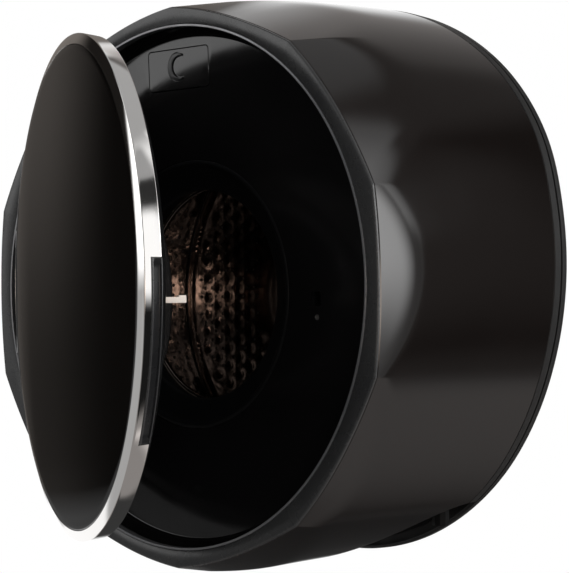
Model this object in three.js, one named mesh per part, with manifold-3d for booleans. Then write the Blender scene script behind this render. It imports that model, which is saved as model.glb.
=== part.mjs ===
// Wall mounted drum washing machine, round front with a ten-sided rim, door ajar.
// Millimetres, +Z up. The origin is on the wall plane behind the drum axis of the
// front, the front faces -Y and X runs to the right of a viewer facing it.
// Depths (the second number of every turned profile) count from the front plane.

import * as THREE from 'three';
import { mergeVertices } from 'three/addons/utils/BufferGeometryUtils.js';
import Module from 'manifold-3d';

// ---- driving dimensions ----
const FRONT = 281;            // wall to front plane
const SEGMENTS = 60;          // samples round every large ring, so facets line up
const GAP = 0.3;              // clearance between pieces that touch or slide

// rings of the front, from the door outwards
const RING_R = 243.6;         // outside of the door's metal ring
const RING_TAPER = 2.3;       // how much narrower the ring's back edge is
const RING_WIDTH = 10.6;      // from the ring's outside in to the glass
const DOOR_MARGIN = 13.2;     // dish of the fascia that shows round the door
const RING_REAR_R = RING_R - RING_TAPER;
const GLASS_R = RING_R - RING_WIDTH;
const FASCIA_R = RING_R + DOOR_MARGIN;
const TRIM_R = FASCIA_R + 2 * GAP;
const BEZEL_R = TRIM_R + 2.6;

// casing outline, as distances outside the bezel's opening
const RIM_MIDDLES = { 0: 15, 36: 16.5, 72: 13 };         // at the middle of a facet
const RIM_CORNERS = { 18: 23, 54: 21, 90: 17.5 };        // at a corner
const FACET_FLARE = 0.16;     // how fast a facet widens towards the wall
const BODY_FRONT = 24.3;      // distance of the rounded body at the front, level with the middle
const BODY_CROWN = 4.7;       // how much further out it lies at the top and the bottom
const CREASE_SOFT = 3;        // how gently the facets run into the body
const BODY_REAR = [           // angle from +X, distance of the rounded body at the back
  [-90, 21], [-75, 19], [-60, 16.5], [-45, 14.5], [-30, 12.5], [-15, 12.5],
  [0, 16], [15, 23], [30, 34], [45, 39], [60, 39.5], [75, 38.5], [90, 38],
];
const CASING_WALL = 2.2;
const CASING_START = 3.4;
const CASING_END = 267.7;
const CASING_DEPTHS = [CASING_START, 16, 34, 56, 86, 140, 205, CASING_END];
const CASING_INNER_DEPTHS = [CASING_END, 140, 56, CASING_START];

// door
const HINGE_X = 0.5 - RING_R;
const DOOR_AJAR_DEG = 25.2;   // how far the door stands open as modelled
const HINGE_Z = 56;
const GRIP_FROM_DEG = -36;
const GRIP_TO_DEG = 5;
const HOOK_X = 170;
const HOOK_Z = -15;
const HOOK_TIP = 56;
const BOWL_Z = -11;            // how far the bowl's deep end sits below its flange

// washing unit
const TUB_Z = -7;
const TUB_R = 218;
const MOUTH_R = 134.3;
const DRUM_R = 203;
const DRUM_MOUTH_R = 107;
const SHAFT_R = 12.5;
const MOUNT_X = 150;
const MOUNT_Z = 125;

// detergent drawer
const DRAWER = { x0: -59, x1: 29, z0: 199, z1: 239.5 };

// underside recess for the hoses
const RECESS = { x0: 0, x1: 148, d0: 222, z: -222 };
const ARCH = { halfWidth: 163, reach: 114, centre: 267, sink: 12 };   // arched hollow in the casing's underside
const FILTER_X = 28;
const PUMP_DEPTH = RECESS.d0 + 23;
const PUMP_Z = -200;
const INLET_X = 111;
const INLET_DEPTH = PUMP_DEPTH + 9;
const GLAND = { x: 64, d: PUMP_DEPTH + 7 };
const DRAIN_X = 134;

// ---- solids ----
const wasm = await Module();
wasm.setup();

// A closed solid from any closed three.js geometry.
function solid(geometry) {
  let g = geometry.clone();
  g.deleteAttribute('normal');
  g.deleteAttribute('uv');
  g = mergeVertices(g, 1e-3);
  const p = g.attributes.position;
  const faces = [];
  let volume = 0;
  const a = new THREE.Vector3();
  const b = new THREE.Vector3();
  const c = new THREE.Vector3();
  for (let i = 0; i < g.index.count; i += 3) {
    const f = [g.index.getX(i), g.index.getX(i + 1), g.index.getX(i + 2)];
    if (f[0] === f[1] || f[1] === f[2] || f[2] === f[0]) continue;
    a.fromBufferAttribute(p, f[0]);
    b.fromBufferAttribute(p, f[1]);
    c.fromBufferAttribute(p, f[2]);
    volume += a.dot(b.cross(c));
    faces.push(f);
  }
  if (volume < 0) faces.forEach((f) => f.reverse());
  return new wasm.Manifold(new wasm.Mesh({
    numProp: 3,
    vertProperties: new Float32Array(p.array),
    triVerts: new Uint32Array(faces.flat()),
  }));
}

// Turned solid about an axis that runs to the wall. Points are [radius, depth].
function turned(points, { x = 0, z = 0, segments = SEGMENTS } = {}) {
  const g = new THREE.LatheGeometry(points.map(([r, d]) => new THREE.Vector2(r, d - FRONT)), segments);
  return solid(g.translate(x, 0, z));
}

function ringOf(points, options) {
  return turned([...points, points[0]], options);
}

function tubeWall(r0, r1, d0, d1, options) {
  return ringOf([[r0, d0], [r1, d0], [r1, d1], [r0, d1]], options);
}

function disc(r, d0, d1, options) {
  return turned([[0, d0], [r, d0], [r, d1], [0, d1]], options);
}

function block(x0, x1, d0, d1, z0, z1) {
  const g = new THREE.BoxGeometry(x1 - x0, d1 - d0, z1 - z0);
  return solid(g.translate((x0 + x1) / 2, (d0 + d1) / 2 - FRONT, (z0 + z1) / 2));
}

// Outline in x and z, pushed from one depth to another.
function prism(shape, d0, d1, curveSegments = 12) {
  const g = new THREE.ExtrudeGeometry(shape, { depth: d1 - d0, bevelEnabled: false, curveSegments });
  return solid(g.rotateX(Math.PI / 2).translate(0, d1 - FRONT, 0));
}

// Upright or sideways rod.
function rod(r, from, to, segments = 16) {
  const a = new THREE.Vector3(from[0], from[1] - FRONT, from[2]);
  const b = new THREE.Vector3(to[0], to[1] - FRONT, to[2]);
  const g = new THREE.CylinderGeometry(r, r, a.distanceTo(b), segments);
  g.applyQuaternion(new THREE.Quaternion().setFromUnitVectors(
    new THREE.Vector3(0, 1, 0), b.clone().sub(a).normalize()));
  return solid(g.translate((a.x + b.x) / 2, (a.y + b.y) / 2, (a.z + b.z) / 2));
}

// Bent pipe or hose through the given points, [x, depth, z].
function hose(r, points, steps = 20, sides = 8) {
  const path = new THREE.CatmullRomCurve3(
    points.map(([x, d, z]) => new THREE.Vector3(x, d - FRONT, z)), false, 'centripetal');
  const shape = new THREE.Shape();
  for (let i = 0; i < sides; i += 1) {
    const a = (i / sides) * Math.PI * 2;
    shape[i ? 'lineTo' : 'moveTo'](r * Math.cos(a), r * Math.sin(a));
  }
  shape.closePath();
  return solid(new THREE.ExtrudeGeometry(shape, { steps, extrudePath: path, bevelEnabled: false }));
}

// Part of a ring between two angles, as an outline in x and z.
function sector(r0, r1, deg0, deg1, z = 0, steps = 12) {
  const shape = new THREE.Shape();
  for (let i = 0; i <= steps; i += 1) {
    const a = THREE.MathUtils.degToRad(deg0 + ((deg1 - deg0) * i) / steps);
    shape[i ? 'lineTo' : 'moveTo'](r1 * Math.cos(a), z + r1 * Math.sin(a));
  }
  for (let i = steps; i >= 0; i -= 1) {
    const a = THREE.MathUtils.degToRad(deg0 + ((deg1 - deg0) * i) / steps);
    shape.lineTo(r0 * Math.cos(a), z + r0 * Math.sin(a));
  }
  shape.closePath();
  return shape;
}

function roundedRect(x0, x1, z0, z1, r) {
  const s = new THREE.Shape();
  s.moveTo(x0 + r, z0);
  s.lineTo(x1 - r, z0);
  s.quadraticCurveTo(x1, z0, x1, z0 + r);
  s.lineTo(x1, z1 - r);
  s.quadraticCurveTo(x1, z1, x1 - r, z1);
  s.lineTo(x0 + r, z1);
  s.quadraticCurveTo(x0, z1, x0, z1 - r);
  s.lineTo(x0, z0 + r);
  s.quadraticCurveTo(x0, z0, x0 + r, z0);
  return s;
}

// Ring whose closed profile changes with the angle.
function shaped(profileAt) {
  const rows = [];
  for (let i = 0; i < SEGMENTS; i += 1) {
    const a = (i / SEGMENTS) * Math.PI * 2;
    rows.push(profileAt(a).map(([r, d]) => [r * Math.cos(a), d - FRONT, r * Math.sin(a)]));
  }
  const n = rows[0].length;
  const index = [];
  for (let i = 0; i < SEGMENTS; i += 1) {
    const j = (i + 1) % SEGMENTS;
    for (let k = 0; k < n; k += 1) {
      const m = (k + 1) % n;
      index.push(i * n + k, j * n + k, j * n + m, i * n + k, j * n + m, i * n + m);
    }
  }
  const g = new THREE.BufferGeometry();
  g.setAttribute('position', new THREE.BufferAttribute(new Float32Array(rows.flat(2)), 3));
  g.setIndex(index);
  return solid(g);
}

// ---- the casing's outline ----
const fold = (angle) => {           // -90 to 90 degrees, the same on both sides
  const deg = THREE.MathUtils.radToDeg(Math.atan2(Math.sin(angle), Math.cos(angle)));
  return Math.abs(deg) > 90 ? Math.sign(deg) * (180 - Math.abs(deg)) : deg;
};

function rimRadius(angle) {
  const deg = Math.abs(fold(angle));
  const middle = deg <= 18 ? 0 : deg <= 54 ? 36 : 72;
  const corner = Math.abs(deg - middle) < 1e-9 ? middle + 18 : middle + 18 * Math.sign(deg - middle);
  const t = Math.abs(deg - middle) / 18;
  const cornerOut = RIM_CORNERS[Math.abs(corner)] ?? RIM_CORNERS[18];
  return BEZEL_R + RIM_MIDDLES[middle] + (cornerOut - RIM_MIDDLES[middle]) * t * t;
}

function rearRadius(angle) {
  const deg = fold(angle);
  for (let i = 1; i < BODY_REAR.length; i += 1) {
    const [d1, r1] = BODY_REAR[i];
    const [d0, r0] = BODY_REAR[i - 1];
    if (deg <= d1 + 1e-9) {
      const t = (deg - d0) / (d1 - d0);
      const before = BODY_REAR[Math.max(i - 2, 0)][1];
      const after = BODY_REAR[Math.min(i + 1, BODY_REAR.length - 1)][1];
      const m0 = (r1 - before) / 2;
      const m1 = (after - r0) / 2;
      const t2 = t * t;
      const t3 = t2 * t;
      return BEZEL_R + (2 * t3 - 3 * t2 + 1) * r0 + (t3 - 2 * t2 + t) * m0
        + (-2 * t3 + 3 * t2) * r1 + (t3 - t2) * m1;
    }
  }
  return BEZEL_R + BODY_REAR.at(-1)[1];
}

// Flat-ish facets at the rim that fade into the rounded body.
function casingRadius(angle, depth) {
  const facet = rimRadius(angle) + FACET_FLARE * depth;
  const t = Math.min(depth / CASING_END, 1);
  const front = BEZEL_R + BODY_FRONT + BODY_CROWN * Math.sin(angle) ** 2;
  const body = front + (rearRadius(angle) - front) * (1 - (1 - t) ** 1.6);
  const h = Math.max(CREASE_SOFT - Math.abs(facet - body), 0) / CREASE_SOFT;
  return Math.min(facet, body) - (h * h * CREASE_SOFT) / 4;
}

// ---- collecting the parts ----
const machine = new THREE.Group();
machine.name = 'wall_mounted_washing_machine';

function add(name, body, color, { metalness = 0, roughness = 0.5, opacity = 1 } = {}) {
  const mesh = body.getMesh();
  const g = new THREE.BufferGeometry();
  g.setAttribute('position', new THREE.BufferAttribute(new Float32Array(mesh.vertProperties), 3));
  g.setIndex(new THREE.BufferAttribute(new Uint32Array(mesh.triVerts), 1));
  g.computeVertexNormals();
  const material = new THREE.MeshStandardMaterial({
    color, metalness, roughness, opacity, transparent: opacity < 1,
  });
  const node = new THREE.Mesh(g, material);
  node.name = name;
  machine.add(node);
  return node;
}

const ajar = (body) => body
  .translate([-HINGE_X, FRONT, 0])
  .rotate([0, 0, -DOOR_AJAR_DEG])
  .translate([HINGE_X, -FRONT, 0]);

const steel = { metalness: 0.9, roughness: 0.35 };
const gloss = { roughness: 0.12 };
const matt = { roughness: 0.7 };

// ---- casing, bezel and fascia ----
const casingShell = shaped((a) => [
  ...CASING_DEPTHS.map((d) => [casingRadius(a, d), d]),
  ...CASING_INNER_DEPTHS.map((d) => [casingRadius(a, d) - CASING_WALL, d]),
]);
const archPrism = (grow) => {        // the hollow's outline, seen from below, run up to the middle
  const shape = new THREE.Shape();
  shape.absellipse(0, ARCH.centre - FRONT, ARCH.halfWidth + grow, ARCH.reach + grow, 0, Math.PI * 2);
  const g = new THREE.ExtrudeGeometry(shape, { depth: 200, bevelEnabled: false, curveSegments: 24 });
  return solid(g.translate(0, 0, -340));
};
add('outer_casing', casingShell.subtract(archPrism(0)), '#2a2624', { roughness: 0.2 });

const bodyInside = (offset) => shaped((a) => [
  [0.01, 2],
  ...CASING_DEPTHS.slice(1).map((d) => [casingRadius(a, d) - offset, d]),
  [0.01, CASING_END],
]);
const inside = bodyInside(CASING_WALL + 2 * GAP);
const sunk = bodyInside(ARCH.sink);

add('front_bezel', shaped((a) => {
  const rim = rimRadius(a);
  return [
    [BEZEL_R, 1.6], [rim - 2.2, 0], [rim - 0.6, 0.5], [rim + 0.1, 2], [rim + 0.2, CASING_START - GAP],
    [rim - 4, CASING_START - GAP], [BEZEL_R + 3, CASING_START + 1], [BEZEL_R + 2.6, 16], [BEZEL_R, 16],
  ];
}), '#37393c', { roughness: 0.4 });
add('bezel_trim_ring', tubeWall(TRIM_R, BEZEL_R - GAP, 1, 9), '#9a9b9d', { metalness: 0.6, roughness: 0.3 });

const FASCIA_FACE = [
  [FASCIA_R, 9 + GAP], [RING_R + 8.8, 22.4], [RING_R + 6.6, 24.7], [116, 29.3],
];
const fasciaSolid = ringOf([
  ...FASCIA_FACE, [116, 32], [RING_R + 7.2, 27.4], [RING_R + 10.6, 23.9], [FASCIA_R, 18],
], { segments: 48 }).subtract(disc(MOUTH_R, 20, 40, { z: TUB_Z, segments: 48 }));
const drawerShape = (grow) => roundedRect(
  DRAWER.x0 - grow, DRAWER.x1 + grow, DRAWER.z0 - grow, DRAWER.z1 + grow, 4);
const hingePocket = (side) => block(HINGE_X - 4.9, HINGE_X + 22.1, -5, 40,
  Math.min(side * 44, side * 68), Math.max(side * 44, side * 68));
const lockSlot = block(HOOK_X - 7, HOOK_X + 7, 20, 40, HOOK_Z - 6.3, HOOK_Z + 7.3);
const lockScrewHole = disc(2.9, 20, 40, { x: HOOK_X + 2, z: HOOK_Z - 17, segments: 16 });
const hingePost = (z) => block(HINGE_X - 0.9, HINGE_X + 15.1, 16, 33.1, z - 9, z + 9);
const hingePosts = hingePost(29).add(hingePost(-29))
  .intersect(ringOf([...FASCIA_FACE, [116, 60], [FASCIA_R, 60]], { segments: 48 }));
add('front_fascia', fasciaSolid
  .add(hingePosts)
  .subtract(prism(drawerShape(GAP), 0, 60, 4))
  .subtract(hingePocket(1))
  .subtract(hingePocket(-1))
  .subtract(lockSlot)
  .subtract(lockScrewHole), '#0c0c0d', gloss);
add('lock_screw', disc(2.6, 27.4, 32.4 - GAP, { x: HOOK_X + 2, z: HOOK_Z - 17, segments: 12 })
  .subtract(block(HOOK_X - 0.5, HOOK_X + 4.5, 26, 28.2, HOOK_Z - 17.4, HOOK_Z - 16.6)), '#8c8d8f', steel);

// ---- detergent drawer ----
const crescent = (grow) => {
  const s = new THREE.Shape();
  s.absarc(0, 0, 14 + grow, THREE.MathUtils.degToRad(62 - grow * 8), THREE.MathUtils.degToRad(298 + grow * 8), false);
  s.absarc(3.5, 0, 11 - grow, THREE.MathUtils.degToRad(290 + grow * 8), THREE.MathUtils.degToRad(70 - grow * 8), true);
  return s;
};
const gripPrism = (grow, d1) => prism(crescent(grow), 0, d1, 8).translate([-16, 0, 221.5]);
const proudOfFace = ringOf(
  [...FASCIA_FACE.map(([r, d]) => [r, d - 1.2]), [116, 60], [FASCIA_R, 60]], { segments: 48 });
const drawerPanel = fasciaSolid.intersect(prism(drawerShape(0), 0, 60, 4));
const trayOuter = block(DRAWER.x0 + 4, DRAWER.x1 - 4, 26.5, 185, 215, 237);
const trayInner = block(DRAWER.x0 + 6, DRAWER.x1 - 6, 30, 183, 217, 240);
add('detergent_drawer', drawerPanel.add(trayOuter.subtract(trayInner))
  .subtract(gripPrism(GAP, 26.4)), '#0e0e0f', gloss);

add('drawer_grip', gripPrism(0, 26.4 - GAP).intersect(proudOfFace), '#242426', { roughness: 0.3 });

add('dispenser_housing', block(DRAWER.x0, DRAWER.x1, 33, 198, 212.6, 241)
  .subtract(block(DRAWER.x0 + 2, DRAWER.x1 - 2, 30, 196, 214.6, 239)), '#c9cac8', matt);
add('inlet_valve', block(70, 104, 160, 198, 216, 240)
  .add(rod(9, [87, 197, 228], [87, 206, 228]))
  .subtract(rod(5, [87, 190, 228], [87, 210, 228], 12))
  .add(rod(6, [70.5, 178, 228], [64, 178, 228], 12)), '#e4e3dd', matt);
add('fill_hose', hose(5.5, [[63.7, 178, 228], [50, 178, 228], [DRAWER.x1 + GAP, 178, 228]], 2), '#2b2b2c', matt);

// ---- gasket and tub ----
add('door_gasket', ringOf([
  [133.6, 28.6], [130, 28.2], [127, 31], [106, 40.7], [103.6, 43.4], [109.6, 50.4],
  [109.6, 61], [112, 61], [112, 50.2], [108.2, 44.4], [128, 35], [133.6, 33.8],
], { z: TUB_Z, segments: 36 }), '#4b4c4e', { roughness: 0.6 });

add('tub_front', ringOf([
  [113.2, 49], [116, 49], [117, 60], [200, 62], [TUB_R, 76], [TUB_R, 140], [TUB_R - 3, 140],
  [TUB_R - 3, 77.4], [198.6, 65], [113.2, 63],
], { z: TUB_Z, segments: 26 }), '#d8d7d2', matt);

const mountPoints = [[1, 1], [-1, 1], [1, -1], [-1, -1]].map(([sx, sz]) => [sx * MOUNT_X, TUB_Z + sz * MOUNT_Z]);
let tubRear = ringOf([
  [TUB_R, 140.3], [TUB_R, 213], [209, 222], [44, 224], [44, 246.5], [23.4, 246.5], [23.4, 237.7],
  [20, 237.7], [20, 232.6], [28.8, 232.6], [28.8, 218.6], [206, 218.6],
  [TUB_R - 3, 211], [TUB_R - 3, 140.3],
], { z: TUB_Z, segments: 26 });
for (const [x, z] of mountPoints) {
  tubRear = tubRear.add(disc(15, 219.5, 232, { x, z, segments: 10 }))
    .subtract(disc(8.6, 224.5, 240, { x, z, segments: 10 }));
}
tubRear = tubRear
  .add(rod(10, [-25, 200, TUB_Z - TUB_R + 4], [-25, 200, TUB_Z - TUB_R - 9], 16))
  .subtract(rod(7.5, [-25, 200, TUB_Z - TUB_R + 20], [-25, 200, TUB_Z - TUB_R - 12], 12))
  .subtract(rod(3.9, [-8, 210, TUB_Z - 209], [-8, 230, TUB_Z - 209], 12))
  .subtract(rod(3.9, [8, 210, TUB_Z - 209], [8, 230, TUB_Z - 209], 12));
add('tub_rear', tubRear, '#d3d2cd', matt);

add('counterweight', prism(sector(138, 206, -148, -32, TUB_Z, 20), 37, 60.1, 4), '#8b8984', { roughness: 0.9 });
add('heater', hose(3.5, [
  [-8, 226, TUB_Z - 209], [-8, 150, TUB_Z - 209], [-7, 106, TUB_Z - 209], [0, 100, TUB_Z - 209.4],
  [7, 106, TUB_Z - 209], [8, 150, TUB_Z - 209], [8, 226, TUB_Z - 209],
], 16, 6), '#a8a39c', steel);

// ---- drum, turning as one ----
const drumAxis = { z: TUB_Z };
let drumShell = ringOf([
  [DRUM_MOUTH_R, 63.6], [DRUM_MOUTH_R + 4, 63.6], [DRUM_MOUTH_R + 4, 67.6],
  [196, 69], [DRUM_R, 76], [DRUM_R, 206], [DRUM_R - 1.4, 206], [DRUM_R - 1.4, 76.6], [195.4, 70.5],
  [DRUM_MOUTH_R, 69.2],
], { ...drumAxis, segments: 32 });
const sideHoles = [];
for (let row = 0; row < 2; row += 1) {
  for (let i = 0; i < 9; i += 1) {
    const a = ((i + (row % 2) / 2) / 9) * Math.PI * 2 + 0.11;
    const d = 110 + row * 60;
    const c = Math.cos(a);
    const s = Math.sin(a);
    sideHoles.push(rod(4, [c * 196, d, TUB_Z + s * 196], [c * 210, d, TUB_Z + s * 210], 5));
  }
}
add('drum_shell', drumShell.subtract(wasm.Manifold.union(sideHoles)), '#c3c1bd', { metalness: 1, roughness: 0.25 });

const backHoles = [];
for (const [r, n] of [[100, 6], [150, 9]]) {
  for (let i = 0; i < n; i += 1) {
    const a = ((i + 0.5) / n) * Math.PI * 2;
    backHoles.push(disc(4.5, 198, 210, { x: r * Math.cos(a), z: TUB_Z + r * Math.sin(a), segments: 5 }));
  }
}
add('drum_back', turned([
  [0, 198.4], [56, 199.6], [66, 203.4], [DRUM_R - 3.4, 204.4], [DRUM_R - 3.4, 205.8],
  [65.4, 204.8], [55.6, 201], [0, 199.8],
], { ...drumAxis, segments: 32 }).subtract(wasm.Manifold.union(backHoles)), '#bfbdb9', { metalness: 1, roughness: 0.3 });

const lifterShape = new THREE.Shape();
lifterShape.moveTo(-26, -DRUM_R);
lifterShape.quadraticCurveTo(-8, -184, -5, -170);
lifterShape.quadraticCurveTo(0, -164, 5, -170);
lifterShape.quadraticCurveTo(8, -184, 26, -DRUM_R);
lifterShape.closePath();
const liftBound = disc(DRUM_R - 3, 60, 210, { segments: 48 });
['a', 'b', 'c'].forEach((letter, i) => {
  add(`drum_lifter_${letter}`, prism(lifterShape, 82, 196, 4)
    .intersect(liftBound)
    .rotate([0, 40 + i * 120, 0])
    .translate([0, 0, TUB_Z]), '#b9b8b4', { roughness: 0.4 });
});

let spider = disc(32, 202.2, 214, { ...drumAxis, segments: 20 })
  .add(disc(SHAFT_R, 205, 256, { ...drumAxis, segments: 16 }));
for (let i = 0; i < 3; i += 1) {
  spider = spider.add(block(-11, 11, 206.6, 213, 20, 190).rotate([0, 100 + i * 120, 0]).translate([0, 0, TUB_Z]));
}
add('drum_spider', spider, '#9b9c9e', { metalness: 0.8, roughness: 0.5 });
add('motor_rotor', ringOf([
  [122, 227], [118.6, 227], [118.6, 251], [SHAFT_R + 0.5, 251], [SHAFT_R + 0.5, 255.4], [112, 255.4], [121, 250],
], { ...drumAxis, segments: 24 }), '#55575a', steel);
add('rotor_bolt', disc(17, 256.4, 261, { ...drumAxis, segments: 24 })
  .add(disc(11, 260.5, 267, { ...drumAxis, segments: 6 })), '#8f9092', steel);

// ---- bearings, seal and stator ----
add('shaft_seal', tubeWall(SHAFT_R + 0.5, 28.3, 218.9, 222, { ...drumAxis, segments: 16 }), '#1d1d1e', matt);
add('bearing_front', tubeWall(SHAFT_R + 0.5, 28.3, 222.6, 232.3, { ...drumAxis, segments: 16 }), '#b5b6b8', steel);
add('bearing_rear', tubeWall(SHAFT_R + 0.5, 22.9, 238, 246.2, { ...drumAxis, segments: 16 }), '#b5b6b8', steel);
let stator = tubeWall(44.6, 84, 229, 248, { ...drumAxis, segments: 27 });
for (let i = 0; i < 9; i += 1) {
  stator = stator.add(block(-12, 12, 231, 246, 78, 114).rotate([0, i * 40, 0]).translate([0, 0, TUB_Z]));
}
add('motor_stator', stator, '#8a5a34', { metalness: 0.4, roughness: 0.5 });

// ---- drain, inlet and service recess ----
const recessOuter = block(RECESS.x0, RECESS.x1, RECESS.d0, 267.4, -320, RECESS.z);
const recessInner = block(RECESS.x0 + 2, RECESS.x1 - 2, RECESS.d0 + 2, 265.4, -330, RECESS.z - 2);
const service = [
  [FILTER_X, PUMP_DEPTH, 17.4], [GLAND.x, GLAND.d, 7.4], [INLET_X, INLET_DEPTH, 9.4],
  [DRAIN_X, PUMP_DEPTH, 9.4],
];
const pan = inside.intersect(archPrism(2))
  .subtract(bodyInside(ARCH.sink + 2))
  .subtract(archPrism(0).subtract(sunk))
  .subtract(block(-300, 300, CASING_END - GAP, FRONT, -320, -100));
let tray = recessOuter.intersect(sunk).add(pan).subtract(recessInner);
for (const [x, d, r] of service) tray = tray.subtract(rod(r + 0.6, [x, d, RECESS.z - 6], [x, d, RECESS.z + 6], 12));
add('service_recess', tray, '#111112', matt);

add('pump_body', rod(17, [12, PUMP_DEPTH, PUMP_Z], [80, PUMP_DEPTH, PUMP_Z], 16)
  .add(rod(17, [FILTER_X, PUMP_DEPTH, PUMP_Z], [FILTER_X, PUMP_DEPTH, RECESS.z - 4], 16))
  .add(rod(7, [68, PUMP_DEPTH, PUMP_Z], [68, PUMP_DEPTH, PUMP_Z + 24], 12))
  .subtract(rod(13.5, [15, PUMP_DEPTH, PUMP_Z], [77, PUMP_DEPTH, PUMP_Z], 16))
  .subtract(rod(13.5, [FILTER_X, PUMP_DEPTH, PUMP_Z], [FILTER_X, PUMP_DEPTH, RECESS.z - 6], 16))
  .subtract(rod(4.5, [68, PUMP_DEPTH, PUMP_Z], [68, PUMP_DEPTH, PUMP_Z + 26], 12))
  .subtract(rod(3.25, [70, PUMP_DEPTH, PUMP_Z], [90, PUMP_DEPTH, PUMP_Z], 16)), '#3a3a3c', matt);
let impeller = rod(3, [62, PUMP_DEPTH, PUMP_Z], [94, PUMP_DEPTH, PUMP_Z], 16)
  .add(rod(11.5, [73, PUMP_DEPTH, PUMP_Z], [76, PUMP_DEPTH, PUMP_Z], 20));
for (const turn of [0, 60, 120]) {
  const blade = block(63, 75, -1, 1, -11, 11).translate([0, FRONT, 0]).rotate([turn, 0, 0])
    .translate([0, PUMP_DEPTH - FRONT, PUMP_Z]);
  impeller = impeller.add(blade);
}
add('pump_impeller', impeller, '#c7c4bc', matt);
add('pump_motor', rod(15, [80.3, PUMP_DEPTH, PUMP_Z], [104, PUMP_DEPTH, PUMP_Z], 20)
  .subtract(rod(3.25, [70, PUMP_DEPTH, PUMP_Z], [95, PUMP_DEPTH, PUMP_Z], 16)), '#4a4b4d', steel);
add('filter_cap', rod(15.5, [FILTER_X, PUMP_DEPTH, RECESS.z - 4.4], [FILTER_X, PUMP_DEPTH, RECESS.z - 10], 16)
  .add(block(FILTER_X - 12, FILTER_X + 12, PUMP_DEPTH - 2.5, PUMP_DEPTH + 2.5, RECESS.z - 20, RECESS.z - 9))
  .add(rod(11, [FILTER_X, PUMP_DEPTH, RECESS.z - 6], [FILTER_X, PUMP_DEPTH, RECESS.z + 8], 16)), '#1b1b1c', matt);
add('cord_gland', rod(11, [GLAND.x, GLAND.d, RECESS.z - 2.3], [GLAND.x, GLAND.d, RECESS.z - 15], 6)
  .add(rod(7, [GLAND.x, GLAND.d, RECESS.z - 4], [GLAND.x, GLAND.d, RECESS.z + 3], 16))
  .subtract(rod(4, [GLAND.x, GLAND.d, RECESS.z - 20], [GLAND.x, GLAND.d, RECESS.z + 12], 12)), '#202021', matt);
add('inlet_spigot', rod(11, [INLET_X, INLET_DEPTH, RECESS.z - 2.3], [INLET_X, INLET_DEPTH, RECESS.z - 6], 6)
  .add(rod(9, [INLET_X, INLET_DEPTH, RECESS.z - 20], [INLET_X, INLET_DEPTH, RECESS.z + 4], 10))
  .subtract(rod(6, [INLET_X, INLET_DEPTH, RECESS.z - 22], [INLET_X, INLET_DEPTH, RECESS.z + 6], 10)), '#c8c9ca', steel);
add('drain_spigot', rod(10.5, [DRAIN_X, PUMP_DEPTH, RECESS.z - 2.3], [DRAIN_X, PUMP_DEPTH, RECESS.z - 5], 10)
  .add(rod(9, [DRAIN_X, PUMP_DEPTH, RECESS.z - 24], [DRAIN_X, PUMP_DEPTH, RECESS.z + 4], 10))
  .subtract(rod(6.5, [DRAIN_X, PUMP_DEPTH, RECESS.z - 26], [DRAIN_X, PUMP_DEPTH, RECESS.z + 6], 10)), '#2a2a2b', matt);
add('sump_hose', hose(8, [
  [-25, 200, TUB_Z - TUB_R - 10], [-25, 200, TUB_Z - TUB_R - 14], [-25, 212, -250], [-26, 232, -240],
  [-20, PUMP_DEPTH, -214], [-4, PUMP_DEPTH, PUMP_Z], [2, PUMP_DEPTH, PUMP_Z], [10.6, PUMP_DEPTH, PUMP_Z],
], 12), '#1f1f20', matt);
add('drain_hose', hose(6, [
  [68, PUMP_DEPTH, PUMP_Z + 24.8], [68, PUMP_DEPTH, PUMP_Z + 28], [84, PUMP_DEPTH, -162],
  [112, PUMP_DEPTH, -165], [DRAIN_X, PUMP_DEPTH, -188], [DRAIN_X, PUMP_DEPTH, -212],
  [DRAIN_X, PUMP_DEPTH, RECESS.z + 4.6],
], 12), '#6f7072', matt);
add('inlet_hose', hose(5, [
  [INLET_X, INLET_DEPTH, RECESS.z + 4.8], [INLET_X, INLET_DEPTH + 1, RECESS.z + 9], [128, 264, -204], [160, 264, -188],
  [208, 264, -134], [243, 264, -60], [252, 264, 20], [236, 262, 100], [190, 260, 168], [130, 256, 218],
  [92, 236, 232], [87, 214, 228], [87, 206.8, 228],
], 24, 6), '#d9dadb', matt);

// ---- electrics, hinge and lock ----
add('control_box', prism(roundedRect(-66, 66, 138, 222, 6), 238, 274.7, 3), '#dad9d4', matt);
add('door_lock', block(HOOK_X - 15, HOOK_X + 22, 32.4, 60.6, HOOK_Z - 24, HOOK_Z + 22)
  .subtract(block(HOOK_X - 7, HOOK_X + 7, 30, 58.6, HOOK_Z - 6.3, HOOK_Z + 7.3)), '#1a1a1b', matt);

let bracket = block(HINGE_X - 3.9, HINGE_X + 22.1, 33.4, 36.4, -70, 70);
for (const side of [1, -1]) {
  for (const [z0, z1] of [[47, 50], [62, 65]]) {
    const lug = block(HINGE_X - 3.2, HINGE_X + 3.2, 0, 35, Math.min(side * z0, side * z1), Math.max(side * z0, side * z1))
      .add(rod(3.2, [HINGE_X, 0, side * z0], [HINGE_X, 0, side * z1], 12));
    bracket = bracket.add(lug);
  }
  bracket = bracket.subtract(rod(1.9, [HINGE_X, 0, side * 40], [HINGE_X, 0, side * 70], 16));
}
add('hinge_bracket', bracket, '#77797c', steel);
for (const [name, side] of [['upper', 1], ['lower', -1]]) {
  add(`hinge_pin_${name}`, rod(1.8, [HINGE_X, 0, side * 47.2], [HINGE_X, 0, side * 65.4], 16), '#c6c7c9', steel);
}

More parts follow.
